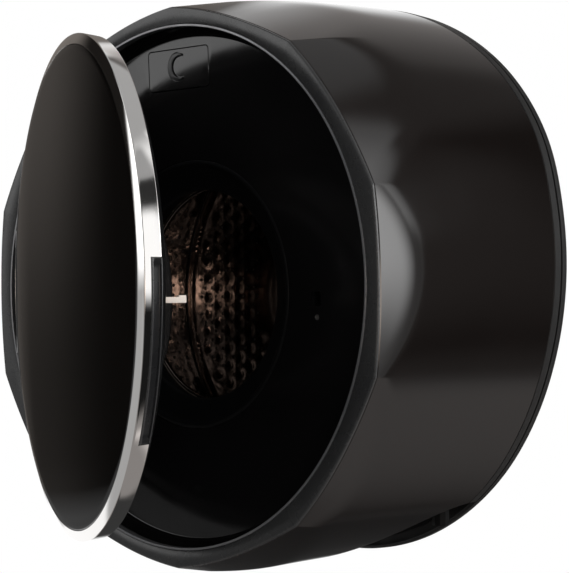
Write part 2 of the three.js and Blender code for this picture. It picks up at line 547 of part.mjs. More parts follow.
// ---- back and wall plate ----
const panelHoles = mountPoints.map(([x, z]) => disc(12, 270, 290, { x, z, segments: 12 }));
add('rear_cover', shaped((a) => {
  const r = casingRadius(a, CASING_END);
  return [
    [r - 0.8, 268], [r - 1.4, 277.4], [60, 277.4], [60, 275], [r - 4, 275], [r - 4, 268],
  ];
}).subtract(wasm.Manifold.union(panelHoles)), '#1a1919', matt);
let wallPlate = prism(roundedRect(-180, 180, -187, 173, 20), 278, FRONT, 4);
for (const [x, z] of [[-165, -172], [165, -172], [-165, 158], [165, 158]]) {
  wallPlate = wallPlate.subtract(disc(5, 270, 290, { x, z, segments: 10 }));
}
mountPoints.forEach(([x, z]) => {
  wallPlate = wallPlate.add(disc(8, 226, 279, { x, z, segments: 10 }));
});
add('wall_plate', wallPlate, '#8d8f92', steel);
mountPoints.forEach(([x, z], i) => {
  add(`rubber_mount_${i + 1}`, ringOf([
    [8.6, 232.4], [24, 232.4], [20, 250], [24, 268], [8.6, 268],
  ], { x, z, segments: 14 }), '#232324', matt);
});

// ---- door, hung ajar ----
const gripCut = prism(sector(GLASS_R + 1.4, RING_R + 16, GRIP_FROM_DEG - 0.1, GRIP_TO_DEG + 0.1, 0, 20), 3.2, 20, 4);
add('door_ring', ajar(ringOf([
  [GLASS_R + 0.2, -6.5], [RING_R, -2.9], [RING_R, -1.6], [RING_REAR_R, 13.8], [GLASS_R + 0.2, 13.8],
]).subtract(gripCut)), '#d6d7d9', { metalness: 1, roughness: 0.08 });
add('door_grip', ajar(ringOf([
  [GLASS_R + 2.3, 3.6], [RING_R - 1.1, 3.6], [RING_REAR_R - GAP, 14.4], [GLASS_R + 2.3, 14.4],
]).intersect(prism(sector(GLASS_R - 3, RING_R + 16, GRIP_FROM_DEG, GRIP_TO_DEG, 0, 20), 0, 20, 4))
  .subtract(prism(sector(RING_R - 5, RING_R + 6, GRIP_FROM_DEG + 2, GRIP_TO_DEG - 2, 0, 16), 6, 12.6, 4))), '#161617', { roughness: 0.35 });
add('door_glass', ajar(turned([
  [0, -12.5], [80, -11.8], [160, -9.7], [GLASS_R - 0.1, -6.3], [GLASS_R - 0.1, -2.8], [0, -9],
])), '#121213', gloss);

const armCut = block(HINGE_X + 5.1, HINGE_X + 47.1, 14.1, 17.9, -62, 62);
const screwSpots = [130, 250].map((deg) => [(GLASS_R - 19) * Math.cos(THREE.MathUtils.degToRad(deg)),
  (GLASS_R - 19) * Math.sin(THREE.MathUtils.degToRad(deg))]);
let doorFrame = ringOf([
  [GLASS_R - 0.1, -2.4], [GLASS_R - 0.1, 14.2], [GLASS_R - 11, 23.2], [131, 27], [126.5, 25], [126.5, 20],
  [133, 20], [133, 23], [GLASS_R - 13, 18.4], [GLASS_R - 3.6, 11], [GLASS_R - 3.6, -2.4],
]).subtract(armCut);
for (const [x, z] of screwSpots) doorFrame = doorFrame.subtract(disc(4, 21.4, 30, { x, z, segments: 12 }));
const latchSeat = block(HOOK_X - 9, HOOK_X + 9, 22.8, 30, HOOK_Z - 12, HOOK_Z + 12);
add('door_inner_frame', ajar(doorFrame.subtract(latchSeat)), '#141415', { roughness: 0.4 });


// The bowl leans, so that its deep end sits lower than its flange.
const bowlProfile = [
  [0, 75.4], [60, 74.8], [80, 72.4], [88, 68.4], [92, 62], [99, 43], [116.6, 19.7], [132.6, 19.7],
  [132.6, 16.6], [112.6, 16.6], [95, 42], [88, 60.6], [77, 68.6], [0, 71.4],
];
const bowl = new THREE.LatheGeometry(bowlProfile.map(([r, d]) => new THREE.Vector2(r, d - FRONT)), 36);
const bowlPoints = bowl.attributes.position;
for (let i = 0; i < bowlPoints.count; i += 1) {
  const reach = Math.max(bowlPoints.getY(i) + FRONT - 22, 0) / 53;
  bowlPoints.setZ(i, bowlPoints.getZ(i) + BOWL_Z * reach);
}
add('door_bowl', ajar(solid(bowl)), '#6d6258', { roughness: 0.05, opacity: 0.45 });
add('bowl_clamp', ajar(tubeWall(119, 132.2, 13, 16.3, { segments: 36 })), '#2a2a2b', matt);
screwSpots.forEach(([x, z], i) => {
  const y = 21.7;
  add(`door_screw_${i + 1}`, ajar(disc(3.6, y, 23.6, { x, z, segments: 12 })
    .subtract(block(x - 2.6, x + 2.6, 22.9, 26, z - 0.5, z + 0.5))), '#8c8d8f', steel);
});

let arms = block(HINGE_X + 29.1, HINGE_X + 45.1, 14.4, 17.6, -61.7, 61.7);
for (const side of [1, -1]) {
  const z0 = Math.min(side * 50.3, side * 61.7);
  const z1 = Math.max(side * 50.3, side * 61.7);
  arms = arms.add(block(HINGE_X + 5.4, HINGE_X + 38.1, 14.4, 17.6, z0, z1))
    .add(block(HINGE_X - 3.2, HINGE_X + 5.6, 14.4, 17.6, z0, z1))
    .add(block(HINGE_X - 3.2, HINGE_X + 3, 0, 17, z0, z1))
    .add(rod(3.2, [HINGE_X, 0, z0], [HINGE_X, 0, z1], 12))
    .subtract(rod(1.85, [HINGE_X, 0, z0 - 1], [HINGE_X, 0, z1 + 1], 16));
}
add('door_hinge_arms', ajar(arms), '#6b6d70', steel);

const latchBase = block(HOOK_X - 8.7, HOOK_X + 8.7, 23.1, 26.2, HOOK_Z - 11.7, HOOK_Z + 11.7)
  .subtract(block(HOOK_X - 5.5, HOOK_X + 5.5, 24.3, 33, HOOK_Z - 7, HOOK_Z + 7));
add('latch_base', ajar(latchBase), '#1c1c1d', matt);
const hook = block(HOOK_X - 5, HOOK_X + 5, 24.6, HOOK_TIP, HOOK_Z - 2.7, HOOK_Z + 2.7)
  .add(block(HOOK_X - 5, HOOK_X + 5, HOOK_TIP - 7, HOOK_TIP, HOOK_Z - 2.7, HOOK_Z + 4.2))
  .subtract(block(HOOK_X - 2.6, HOOK_X + 2.6, 40, 47, HOOK_Z - 6, HOOK_Z + 6));
add('latch_hook', ajar(hook), '#efe6da', { roughness: 0.35 });

export default machine;
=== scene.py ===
import math

import bmesh
import bpy
import numpy as np
from mathutils import Matrix, Vector
from mathutils.geometry import delaunay_2d_cdt


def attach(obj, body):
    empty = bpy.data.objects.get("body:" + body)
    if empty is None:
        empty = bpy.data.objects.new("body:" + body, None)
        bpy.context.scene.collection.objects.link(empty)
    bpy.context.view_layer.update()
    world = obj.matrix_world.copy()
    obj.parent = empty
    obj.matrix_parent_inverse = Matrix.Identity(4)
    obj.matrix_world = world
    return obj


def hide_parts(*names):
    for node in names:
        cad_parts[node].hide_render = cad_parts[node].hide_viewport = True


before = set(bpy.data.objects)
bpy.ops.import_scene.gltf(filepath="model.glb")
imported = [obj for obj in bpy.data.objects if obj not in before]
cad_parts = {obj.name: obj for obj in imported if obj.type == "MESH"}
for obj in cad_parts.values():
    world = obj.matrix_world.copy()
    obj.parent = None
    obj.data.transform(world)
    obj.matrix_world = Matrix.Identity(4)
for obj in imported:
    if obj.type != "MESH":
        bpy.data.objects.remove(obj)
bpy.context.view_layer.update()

# A wall mounted washing machine, its round door ajar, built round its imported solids: the visible
# pieces are made again in finer form, and the rest of the nodes only get their finish.

# ---- sizes, in millimetres; depths count from the front plane towards the wall ----
MM = 0.001
FRONT = 281.0            # from the wall to the front plane
RING_R = 243.6           # the door's chrome ring, which the other rings of the front follow
RING_REAR_R = RING_R - 2.3
GLASS_R = RING_R - 10.6
FASCIA_R = RING_R + 13.2
TRIM_R = FASCIA_R + 0.6
BEZEL_R = TRIM_R + 2.6

# The casing's outline beyond the bezel, by the angle from the horizontal in degrees. The ten facets
# of the rim curve a little, from their middles out to their corners; left and right are alike.
FACET_HALF = 18          # half of a facet's angle
RIM_MIDDLES = {0: 15.0, 36: 16.5, 72: 13.0}
RIM_CORNERS = {18: 23.0, 54: 21.0, 90: 17.5}
FACET_FLARE = 0.16       # how much wider a facet gets with depth
BODY_FRONT = 24.3        # the round body, at the front
BODY_CROWN = 4.7         # what it is wider by at the top and bottom
BODY_EASE = 1.6
BODY_REAR = [
    (-90, 21), (-75, 19), (-60, 16.5), (-45, 14.5), (-30, 12.5), (-15, 12.5),
    (0, 16), (15, 23), (30, 34), (45, 39), (60, 39.5), (75, 38.5), (90, 38),
]
CREASE_SOFT = 3.0        # the rounding where facets and body meet
CASING_WALL = 2.2
CASING_START, CASING_END = 3.4, 267.7
REAR_BAND = 256.0        # the casing is matt behind this depth
GROOVE_END = REAR_BAND + 1.5
GROOVE_DEEP = 0.8
ARCH_HALF, ARCH_REACH, ARCH_DEPTH = 163.0, 114.0, 267.0
ARCH_LOW, ARCH_HIGH = -340.0, -140.0

FASCIA_FACE = [(FASCIA_R, 9.3), (RING_R + 8.8, 22.4), (RING_R + 6.6, 24.7), (116, 29.3)]
FASCIA_BACK = [(116, 32), (RING_R + 7.2, 27.4), (RING_R + 10.6, 23.9), (FASCIA_R, 18)]
DRAWER = (-59.0, 29.0, 199.0, 239.5)      # left, right, bottom, top
DRAWER_CORNER = 4.0
DRAWER_GAP = 0.7
DRAWER_BACK = 27.8
CRESCENT_MIDDLE = (-16.0, 221.5)
CRESCENT_GAP = 1.1

HINGE_X = 0.5 - RING_R
HINGE_SLOT_X = (HINGE_X - 4.9, HINGE_X + 22.1)
HINGE_SLOTS_Z = ((44, 68), (-68, -44))    # where the hinge's arms pass through the fascia
HINGE_POST_X = (HINGE_X - 0.4, HINGE_X + 14.6)
HINGE_POSTS_Z = {"upper": (20.5, 37.5), "lower": (-37.5, -20.5)}
DOOR_AJAR = math.radians(25.2)
GRIP_DEG = (-36.0, 5.0)                   # the finger pull's ends on the ring
HOOK_X, HOOK_Z, HOOK_TIP = 170.0, -15.0, 56.0
HOOK_HALF_WIDE, HOOK_HALF_THICK = 5.0, 2.7
LOCK_SCREW_X, LOCK_SCREW_Z, LOCK_SCREW_HOLE_R = HOOK_X + 2, HOOK_Z - 17, 2.9
BOWL_Z = -11.0           # how far the bowl's end hangs below the door's middle
AXIS_Z = -7.0            # the drum's axis
MOUTH_R = 134.3

DRUM_R = 203.0
PITCH = 19.0             # of the pressed dimples
DIMPLE_R = 5.4
HOLE_R = 1.95


# ---- mesh helpers: a profile is (radius, depth) points and an outline is (x, z) points ----
def link(ob):
    bpy.context.scene.collection.objects.link(ob)
    return ob


def smooth(ob, degrees=32, recalc=True):
    """Merges doubles and shades smooth, apart from edges sharper than degrees."""
    bm = bmesh.new()
    bm.from_mesh(ob.data)
    bmesh.ops.remove_doubles(bm, verts=bm.verts, dist=1e-7)
    if recalc:
        bmesh.ops.recalc_face_normals(bm, faces=bm.faces)
    limit = math.radians(degrees)
    for f in bm.faces:
        f.smooth = True
    for e in bm.edges:
        e.smooth = len(e.link_faces) == 2 and e.calc_face_angle(0.0) < limit
    bm.to_mesh(ob.data)
    bm.free()
    return ob


def solid(name, verts, faces, degrees=32):
    """verts are (x, depth, z) in millimetres."""
    me = bpy.data.meshes.new(name)
    me.from_pydata([(x * MM, (d - FRONT) * MM, z * MM) for x, d, z in verts], [], faces)
    return smooth(link(bpy.data.objects.new(name, me)), degrees)


def quads(rows, n, loop_rows=True, loop_line=True, flip=False):
    """Faces between neighbouring rows of n points each."""
    faces = []
    for i in range(rows if loop_rows else rows - 1):
        j = (i + 1) % rows
        for k in range(n if loop_line else n - 1):
            m = (k + 1) % n
            face = (i * n + k, j * n + k, j * n + m, i * n + m)
            faces.append(face[:1] + face[:0:-1] if flip else face)
    return faces


def turned(name, profile, segments, z=0.0, closed=True, degrees=32):
    """Ring from a closed profile; with closed False the profile runs from axis to axis."""
    verts = []
    for i in range(segments):
        a = 2 * math.pi * i / segments
        c, s = math.cos(a), math.sin(a)
        verts += [(r * c, d, z + r * s) for r, d in profile]
    return solid(name, verts, quads(segments, len(profile), loop_line=closed), degrees)


def shaped(name, profile_at, degrees):
    """Ring whose closed profile changes with the angle."""
    rows = [[(r * math.cos(a), d, r * math.sin(a)) for r, d in profile_at(a)] for a in RING_ANGLES]
    return solid(name, [v for row in rows for v in row], quads(len(rows), len(rows[0])), degrees)


def swept(name, rows, degrees):
    """Bar through rows of points, closed at both ends."""
    n = len(rows[0])
    verts = [v for row in rows for v in row]
    faces = quads(len(rows), n, loop_rows=False, flip=True)
    faces += [tuple(range(n)), tuple(range(len(verts) - 1, len(verts) - 1 - n, -1))]
    return solid(name, verts, faces, degrees)


def extruded(name, near, far):
    """Closed solid between two matching loops of points."""
    n = len(near)
    faces = [tuple(range(n)), tuple(range(2 * n - 1, n - 1, -1))]
    faces += [(i, (i + 1) % n, n + (i + 1) % n, n + i) for i in range(n)]
    return solid(name, near + far, faces, 30)


def prism(name, outline, d0, d1):
    """Outline pushed from depth d0 to d1."""
    return extruded(name, [(x, d0, z) for x, z in outline], [(x, d1, z) for x, z in outline])


def block(name, x0, x1, d0, d1, z0, z1):
    return prism(name, [(x0, z0), (x1, z0), (x1, z1), (x0, z1)], d0, d1)


def circle(x, z, r, n=32, shift=0.0):
    """n points round a circle; shift turns them by a share of their spacing."""
    turns = [2 * math.pi * (k + shift) / n for k in range(n)]
    return [(x + r * math.cos(a), z + r * math.sin(a)) for a in turns]


def arc(x, z, r, start, end, steps):
    """Points along an arc whose start and end are in degrees."""
    turns = [math.radians(start + (end - start) * k / steps) for k in range(steps + 1)]
    return [(x + r * math.cos(a), z + r * math.sin(a)) for a in turns]


def rounded_rect(x0, x1, z0, z1, r, steps=6):
    return (arc(x1 - r, z0 + r, r, -90, 0, steps) + arc(x1 - r, z1 - r, r, 0, 90, steps)
            + arc(x0 + r, z1 - r, r, 90, 180, steps) + arc(x0 + r, z0 + r, r, 180, 270, steps))


def fillet(points, radius, steps=3, closed=True):
    """Rounds the corners of a profile. radius is one number or one per point."""
    n = len(points)
    radii = radius if isinstance(radius, (list, tuple)) else [radius] * n
    most = 0.45          # share of a side that one corner may take
    out = []
    for i, p in enumerate(points):
        if radii[i] <= 0 or (not closed and i in (0, n - 1)):
            out.append(tuple(p))
            continue
        before, corner, after = (Vector(q) for q in (points[i - 1], p, points[(i + 1) % n]))
        u, v = before - corner, after - corner
        reach = min(radii[i], u.length * most, v.length * most)
        start, end = corner + u.normalized() * reach, corner + v.normalized() * reach
        for k in range(steps + 1):
            t = k / steps
            q = start * (1 - t) ** 2 + corner * (2 * t * (1 - t)) + end * t ** 2
            out.append((q.x, q.y))
    return out


def apply_modifiers(ob, degrees=32):
    dg = bpy.context.evaluated_depsgraph_get()
    me = bpy.data.meshes.new_from_object(ob.evaluated_get(dg))
    ob.modifiers.clear()
    old, ob.data = ob.data, me
    bpy.data.meshes.remove(old)
    return smooth(ob, degrees, recalc=False)


def boolean(ob, *tools, operation="DIFFERENCE", degrees=32):
    for t in tools:
        m = ob.modifiers.new("cut", "BOOLEAN")
        m.operation, m.solver, m.object = operation, "EXACT", t
    apply_modifiers(ob, degrees)
    for t in tools:
        bpy.data.objects.remove(t)
    return ob


def bevelled(ob, width, segments=2, angle=40):
    m = ob.modifiers.new("bevel", "BEVEL")
    m.width, m.segments, m.limit_method = width * MM, segments, "ANGLE"
    m.angle_limit = math.radians(angle)
    return apply_modifiers(ob)


def thickened(ob, thickness):
    m = ob.modifiers.new("sheet", "SOLIDIFY")
    m.thickness, m.offset = thickness * MM, 0.0
    return apply_modifiers(ob, 40)


def hang(ob):
    """Turns a piece made for the closed door out to where the door hangs."""
    hinge = Vector((HINGE_X * MM, -FRONT * MM, 0))
    turn = Matrix.Rotation(-DOOR_AJAR, 4, "Z")
    ob.data.transform(Matrix.Translation(hinge) @ turn @ Matrix.Translation(-hinge))
    return ob


# ---- casing outline ----
def folded(angle):
    """The angle in degrees from the horizontal, with the left half folded over the right."""
    deg = math.degrees(math.atan2(math.sin(angle), math.cos(angle)))
    return math.copysign(180 - abs(deg), deg) if abs(deg) > 90 else deg


def rim_radius(angle):
    """The faceted rim, at the front plane."""
    deg = abs(folded(angle))
    middle = next((m for m in (0, 36) if deg <= m + FACET_HALF), 72)
    side = 1 if deg >= middle else -1
    corner = RIM_CORNERS[abs(middle + FACET_HALF * side)]
    t = abs(deg - middle) / FACET_HALF
    return BEZEL_R + RIM_MIDDLES[middle] + (corner - RIM_MIDDLES[middle]) * t * t


def rear_radius(angle):
    """The round body at the wall: a smooth curve through BODY_REAR."""
    deg = folded(angle)
    last = len(BODY_REAR) - 1
    for i in range(1, last + 1):
        d1, r1 = BODY_REAR[i]
        d0, r0 = BODY_REAR[i - 1]
        if deg <= d1 + 1e-9:
            t = (deg - d0) / (d1 - d0)
            m0 = (r1 - BODY_REAR[max(i - 2, 0)][1]) / 2
            m1 = (BODY_REAR[min(i + 1, last)][1] - r0) / 2
            return BEZEL_R + ((2 * t ** 3 - 3 * t ** 2 + 1) * r0 + (t ** 3 - 2 * t ** 2 + t) * m0
                              + (-2 * t ** 3 + 3 * t ** 2) * r1 + (t ** 3 - t ** 2) * m1)
    return BEZEL_R + BODY_REAR[last][1]


def casing_radius(angle, depth):
    """The smaller of the faceted rim and the round body, with a soft crease between them."""
    facet = rim_radius(angle) + FACET_FLARE * depth
    t = min(depth / CASING_END, 1.0)
    front = BEZEL_R + BODY_FRONT + BODY_CROWN * math.sin(angle) ** 2
    body = front + (rear_radius(angle) - front) * (1 - (1 - t) ** BODY_EASE)
    h = max(CREASE_SOFT - abs(facet - body), 0.0) / CREASE_SOFT
    return min(facet, body) - h * h * CREASE_SOFT / 4


# Even steps, with two more angles close to each corner so that it stays crisp.
RING_STEPS, CORNER_BESIDE = 420, 0.28
RING_ANGLES = sorted(
    [2 * math.pi * i / RING_STEPS for i in range(RING_STEPS)]
    + [math.radians(corner + beside) for corner in range(FACET_HALF, 378, 36)
       for beside in (-CORNER_BESIDE, CORNER_BESIDE)]
)


# ---- materials ----
TONE_BAND = (0.35, 0.65)         # the stretch of a noise that carries the whole drift
ROUGH_BAND = (0.3, 0.7)
FLECK_BAND = 0.06
WORN_BAND, WORN_SHARE = (0.53, 0.62), 0.6     # pointiness from unworn to worn


def surface(name, base, other, rough=0.4, rough_by=0.05, metallic=0.0, tone_scale=9.0,
            rough_scale=60.0, grain=900.0, grain_height=0.00003, grain_strength=0.3, stretch=None,
            specular=0.5, transmission=0.0, ior=1.5, edge=None, speck=None):
    """Procedural finish: the colour drifts from base to other over tone_scale and the roughness
    over rough_scale, and a fine grain bumps it. edge is the colour of worn edges, and speck the
    colour, scale and threshold of flecks."""
    mat = bpy.data.materials.new(name)
    mat.use_nodes = True
    nt = mat.node_tree
    bsdf = nt.nodes["Principled BSDF"]
    flat = nt.nodes.new("ShaderNodeTexCoord").outputs["Object"]
    place = nt.nodes.new("ShaderNodeMapping")
    nt.links.new(flat, place.inputs["Vector"])
    if stretch:
        place.inputs["Scale"].default_value = stretch
    stretched = place.outputs["Vector"]

    def noise(scale, detail, vector):
        node = nt.nodes.new("ShaderNodeTexNoise")
        node.inputs["Scale"].default_value = scale
        node.inputs["Detail"].default_value = detail
        nt.links.new(vector, node.inputs["Vector"])
        return node.outputs["Fac"]

    def ranged(value, low, high, to_low=0.0, to_high=1.0):
        node = nt.nodes.new("ShaderNodeMapRange")
        node.inputs["From Min"].default_value = low
        node.inputs["From Max"].default_value = high
        node.inputs["To Min"].default_value = to_low
        node.inputs["To Max"].default_value = to_high
        nt.links.new(value, node.inputs["Value"])
        return node.outputs["Result"]

    def mixed(factor, first, second):
        """first is a colour or a socket that gives one, and second is a colour."""
        node = nt.nodes.new("ShaderNodeMix")
        node.data_type = "RGBA"
        if isinstance(first, tuple):
            node.inputs[6].default_value = (*first, 1)
        else:
            nt.links.new(first, node.inputs[6])
        node.inputs[7].default_value = (*second, 1)
        nt.links.new(factor, node.inputs[0])
        return node.outputs[2]

    colour = mixed(ranged(noise(tone_scale, 5, flat), *TONE_BAND), base, other)
    if speck:
        fleck, scale, threshold = speck
        flecks = ranged(noise(scale, 2, flat), threshold, threshold + FLECK_BAND)
        colour = mixed(flecks, colour, fleck)
    if edge:
        pointiness = nt.nodes.new("ShaderNodeNewGeometry").outputs["Pointiness"]
        colour = mixed(ranged(pointiness, *WORN_BAND, to_high=WORN_SHARE), colour, edge)
    nt.links.new(colour, bsdf.inputs["Base Color"])
    patches = noise(rough_scale, 6, stretched)
    roughness = ranged(patches, *ROUGH_BAND, max(rough - rough_by, 0.0), rough + rough_by)
    nt.links.new(roughness, bsdf.inputs["Roughness"])
    bump = nt.nodes.new("ShaderNodeBump")
    bump.inputs["Strength"].default_value = grain_strength
    bump.inputs["Distance"].default_value = grain_height
    nt.links.new(noise(grain, 3, stretched), bump.inputs["Height"])
    nt.links.new(bump.outputs["Normal"], bsdf.inputs["Normal"])
    bsdf.inputs["Metallic"].default_value = metallic
    bsdf.inputs["Specular IOR Level"].default_value = specular
    bsdf.inputs["IOR"].default_value = ior
    bsdf.inputs["Transmission Weight"].default_value = transmission
    return mat


PAINT = surface("casing_paint", (0.0042, 0.0027, 0.0023), (0.0051, 0.0033, 0.0028), rough=0.09,
                rough_by=0.02, tone_scale=5, rough_scale=14, grain=420, grain_height=0.00002,
                grain_strength=0.22)
SATIN = surface("bezel_satin", (0.0145, 0.0145, 0.015), (0.019, 0.019, 0.019), rough=0.27,
                rough_by=0.04, grain=1600, grain_height=0.00004, grain_strength=0.3,
                edge=(0.09, 0.09, 0.09))
SILVER = surface("trim_silver", (0.17, 0.17, 0.175), (0.20, 0.20, 0.205), rough=0.34, rough_by=0.05,
                 metallic=0.75, grain=1800)
GLOSS = surface("fascia_gloss", (0.0022, 0.0021, 0.0022), (0.0032, 0.003, 0.0031), rough=0.13,
                rough_by=0.03, tone_scale=7, rough_scale=22, grain=380, grain_height=0.00001,
                grain_strength=0.2)
GLASS = surface("door_glass_black", (0.0012, 0.0010, 0.0009), (0.0018, 0.0014, 0.0012), rough=0.014,
                rough_by=0.008, rough_scale=16, grain=240, grain_height=0.000006,
                grain_strength=0.15)
CHROME = surface("chrome", (0.80, 0.785, 0.77), (0.84, 0.825, 0.81), rough=0.06, rough_by=0.025,
                 metallic=1.0, rough_scale=40, grain=700, grain_height=0.000008,
                 grain_strength=0.15)
PLASTIC = surface("black_plastic", (0.0045, 0.0045, 0.0048), (0.0062, 0.0062, 0.0066), rough=0.36,
                  rough_by=0.05, grain=1400, grain_height=0.00005, grain_strength=0.35,
                  edge=(0.02, 0.02, 0.02))
GRIP = surface("grip_plastic", (0.011, 0.011, 0.012), (0.014, 0.014, 0.015), rough=0.28,
               rough_by=0.05, grain=1300, grain_height=0.00004, grain_strength=0.3,
               edge=(0.05, 0.05, 0.05))
RUBBER = surface("gasket_rubber", (0.0013, 0.0014, 0.0016), (0.0020, 0.0021, 0.0024), rough=0.5,
                 rough_by=0.07, specular=0.2, grain=800, grain_height=0.00008, grain_strength=0.4)
# The drum's steel is coloured darker and browner than bare steel. This is painted shade and painted
# warm light from the drum's dim inside, not the steel's own colour.
SHADED_STEEL = surface("drum_steel_painted_shade", (0.31, 0.26, 0.235), (0.36, 0.305, 0.275), rough=0.17, rough_by=0.05,
                metallic=1.0, rough_scale=30, grain=260, grain_height=0.00003, grain_strength=0.25,
                stretch=(1, 1, 6), tone_scale=14)
SMOKE = surface("bowl_smoked", (0.045, 0.042, 0.042), (0.055, 0.051, 0.050), rough=0.09,
                rough_by=0.03, transmission=0.7, ior=1.46, grain=120, grain_height=0.00002,
                grain_strength=0.1)
CREAM = surface("hook_cream", (0.80, 0.70, 0.62), (0.84, 0.745, 0.66), rough=0.38, rough_by=0.05,
                grain=1500)
ZINC = surface("zinc_steel", (0.36, 0.37, 0.38), (0.45, 0.455, 0.46), rough=0.36, rough_by=0.09,
               metallic=1.0, tone_scale=60, rough_scale=90, grain=900, grain_height=0.00004,
               edge=(0.6, 0.6, 0.6))
PIN = surface("bright_pin", (0.55, 0.55, 0.55), (0.62, 0.62, 0.62), rough=0.2, rough_by=0.05,
              metallic=1.0)
ALLOY = surface("cast_alloy", (0.34, 0.345, 0.35), (0.42, 0.425, 0.43), rough=0.5, rough_by=0.08,
                metallic=0.9, tone_scale=40, grain=700, grain_height=0.0001, grain_strength=0.6)
TUB = surface("tub_plastic", (0.55, 0.545, 0.51), (0.60, 0.595, 0.56), rough=0.5, rough_by=0.06,
              tone_scale=20, grain=1100, grain_height=0.00005,
              speck=((0.32, 0.31, 0.29), 700, 0.66))
IVORY = surface("white_plastic", (0.66, 0.655, 0.62), (0.70, 0.695, 0.66), rough=0.42,
                rough_by=0.05, grain=1200)
CONCRETE = surface("weight_concrete", (0.24, 0.235, 0.22), (0.33, 0.325, 0.305), rough=0.85,
                   rough_by=0.08, tone_scale=60, grain=500, grain_height=0.0004, grain_strength=0.8,
                   speck=((0.12, 0.12, 0.11), 260, 0.62))
COPPER = surface("stator_windings", (0.42, 0.19, 0.075), (0.50, 0.235, 0.095), rough=0.35,
                 rough_by=0.07, metallic=0.8, stretch=(1, 14, 1), grain=240, grain_height=0.0004,
                 grain_strength=0.6)
SOFT_RUBBER = surface("mount_rubber", (0.010, 0.010, 0.010), (0.014, 0.014, 0.0145), rough=0.65,
                      rough_by=0.08, grain=700, grain_height=0.0001)
MATTE = surface("rear_matte", (0.0048, 0.0045, 0.0045), (0.0062, 0.0058, 0.0058), rough=0.55,
                rough_by=0.07, grain=1200, grain_height=0.00008, grain_strength=0.5,
                edge=(0.03, 0.03, 0.03))
RECESS = surface("recess_black", (0.0012, 0.0012, 0.0012), (0.0018, 0.0018, 0.0018), rough=0.45,
                 rough_by=0.07, specular=0.2, grain=1200, grain_height=0.00008, grain_strength=0.5)
HOSE_DARK = surface("hose_dark", (0.012, 0.012, 0.0125), (0.017, 0.017, 0.0175), rough=0.5,
                    rough_by=0.06)
HOSE_GREY = surface("hose_grey", (0.16, 0.163, 0.168), (0.20, 0.203, 0.21), rough=0.5,
                    rough_by=0.06)
HOSE_PALE = surface("hose_pale", (0.62, 0.62, 0.61), (0.68, 0.68, 0.67), rough=0.42, rough_by=0.06)

NODE_FINISH = {
    "outer_casing": PAINT, "front_bezel": SATIN, "bezel_trim_ring": SILVER, "front_fascia": GLOSS,
    "lock_screw": ZINC, "detergent_drawer": GLOSS, "drawer_grip": PLASTIC,
    "dispenser_housing": IVORY, "inlet_valve": IVORY, "fill_hose": HOSE_DARK, "door_gasket": RUBBER,
    "tub_front": TUB, "tub_rear": TUB, "counterweight": CONCRETE, "heater": ZINC,
    "shaft_seal": SOFT_RUBBER, "bearing_front": PIN, "bearing_rear": PIN, "motor_stator": COPPER,
    "service_recess": RECESS, "pump_body": PLASTIC, "pump_motor": ZINC, "cord_gland": RECESS,
    "inlet_spigot": RECESS, "drain_spigot": RECESS, "sump_hose": HOSE_DARK, "drain_hose": HOSE_GREY,
    "inlet_hose": HOSE_PALE, "control_box": IVORY, "door_lock": PLASTIC, "hinge_bracket": ZINC,
    "hinge_pin_upper": PIN, "hinge_pin_lower": PIN, "rear_cover": MATTE, "wall_plate": ZINC,
    "rubber_mount_1": SOFT_RUBBER, "rubber_mount_2": SOFT_RUBBER, "rubber_mount_3": SOFT_RUBBER,
    "rubber_mount_4": SOFT_RUBBER, "door_ring": CHROME, "door_grip": GRIP, "door_glass": GLASS,
    "door_inner_frame": PLASTIC, "door_bowl": SMOKE, "bowl_clamp": PLASTIC, "door_screw_1": ZINC,
    "door_screw_2": ZINC, "door_hinge_arms": ZINC, "latch_base": PLASTIC, "latch_hook": CREAM,
    "drum_shell": SHADED_STEEL, "drum_back": SHADED_STEEL, "drum_lifter_a": SHADED_STEEL, "drum_lifter_b": SHADED_STEEL,
    "drum_lifter_c": SHADED_STEEL, "drum_spider": ALLOY, "motor_rotor": ZINC, "rotor_bolt": PIN,
    "filter_cap": PLASTIC, "pump_impeller": IVORY,
}
for name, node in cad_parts.items():
    node.data.materials.clear()
    node.data.materials.append(NODE_FINISH[name])


def piece(ob, material, body, *nodes):
    """Gives a new piece its finish and its body, and hides the imported nodes that it stands for.
    """
    ob.data.materials.clear()
    ob.data.materials.append(material)
    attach(ob, body)
    if nodes:
        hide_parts(*nodes)
    return ob


# ---- casing, bezel, trim ----
# Rows lie close together where the crease crosses them, and at the groove before the matt band.
CASING_ROWS = [
    CASING_START + 0.6, 5, 8, 12, 16, 20, 24, 28, 32, 36, 40, 44, 48, 52, 56, 61, 66, 72, 78, 85,
    92, 100, 110, 122, 136, 152, 170, 190, 210, 230, 246,
    REAR_BAND, REAR_BAND + 0.5, GROOVE_END - 0.2, GROOVE_END + 0.3, CASING_END - 1.5,
]
INNER_ROWS = [CASING_END, 220, 140, 90, 56, 30, CASING_START]


def casing_profile(a):
    rows = [(casing_radius(a, CASING_START) - 0.55, CASING_START)]
    rows += [(casing_radius(a, d) - (GROOVE_DEEP if REAR_BAND < d < GROOVE_END else 0), d)
             for d in CASING_ROWS]
    rows += [(casing_radius(a, CASING_END) - 0.9, CASING_END)]
    return rows + [(casing_radius(a, d) - CASING_WALL, d) for d in INNER_ROWS]


def underside_hollow():
    """Upright ellipse that cuts the arched hollow out of the casing's underside."""
    steps = 96
    turns = [2 * math.pi * k / steps for k in range(steps)]
    line = [(ARCH_HALF * math.cos(a), ARCH_DEPTH + ARCH_REACH * math.sin(a)) for a in turns]
    return extruded("cut", [(x, d, ARCH_LOW) for x, d in line],
                    [(x, d, ARCH_HIGH) for x, d in line])


casing = shaped("casing", casing_profile, 24)
boolean(casing, underside_hollow(), degrees=24)
piece(casing, PAINT, "cabinet", "outer_casing")
casing.data.materials.append(MATTE)
for face in casing.data.polygons:
    face.material_index = 1 if face.center.y > (REAR_BAND + 0.2 - FRONT) * MM else 0


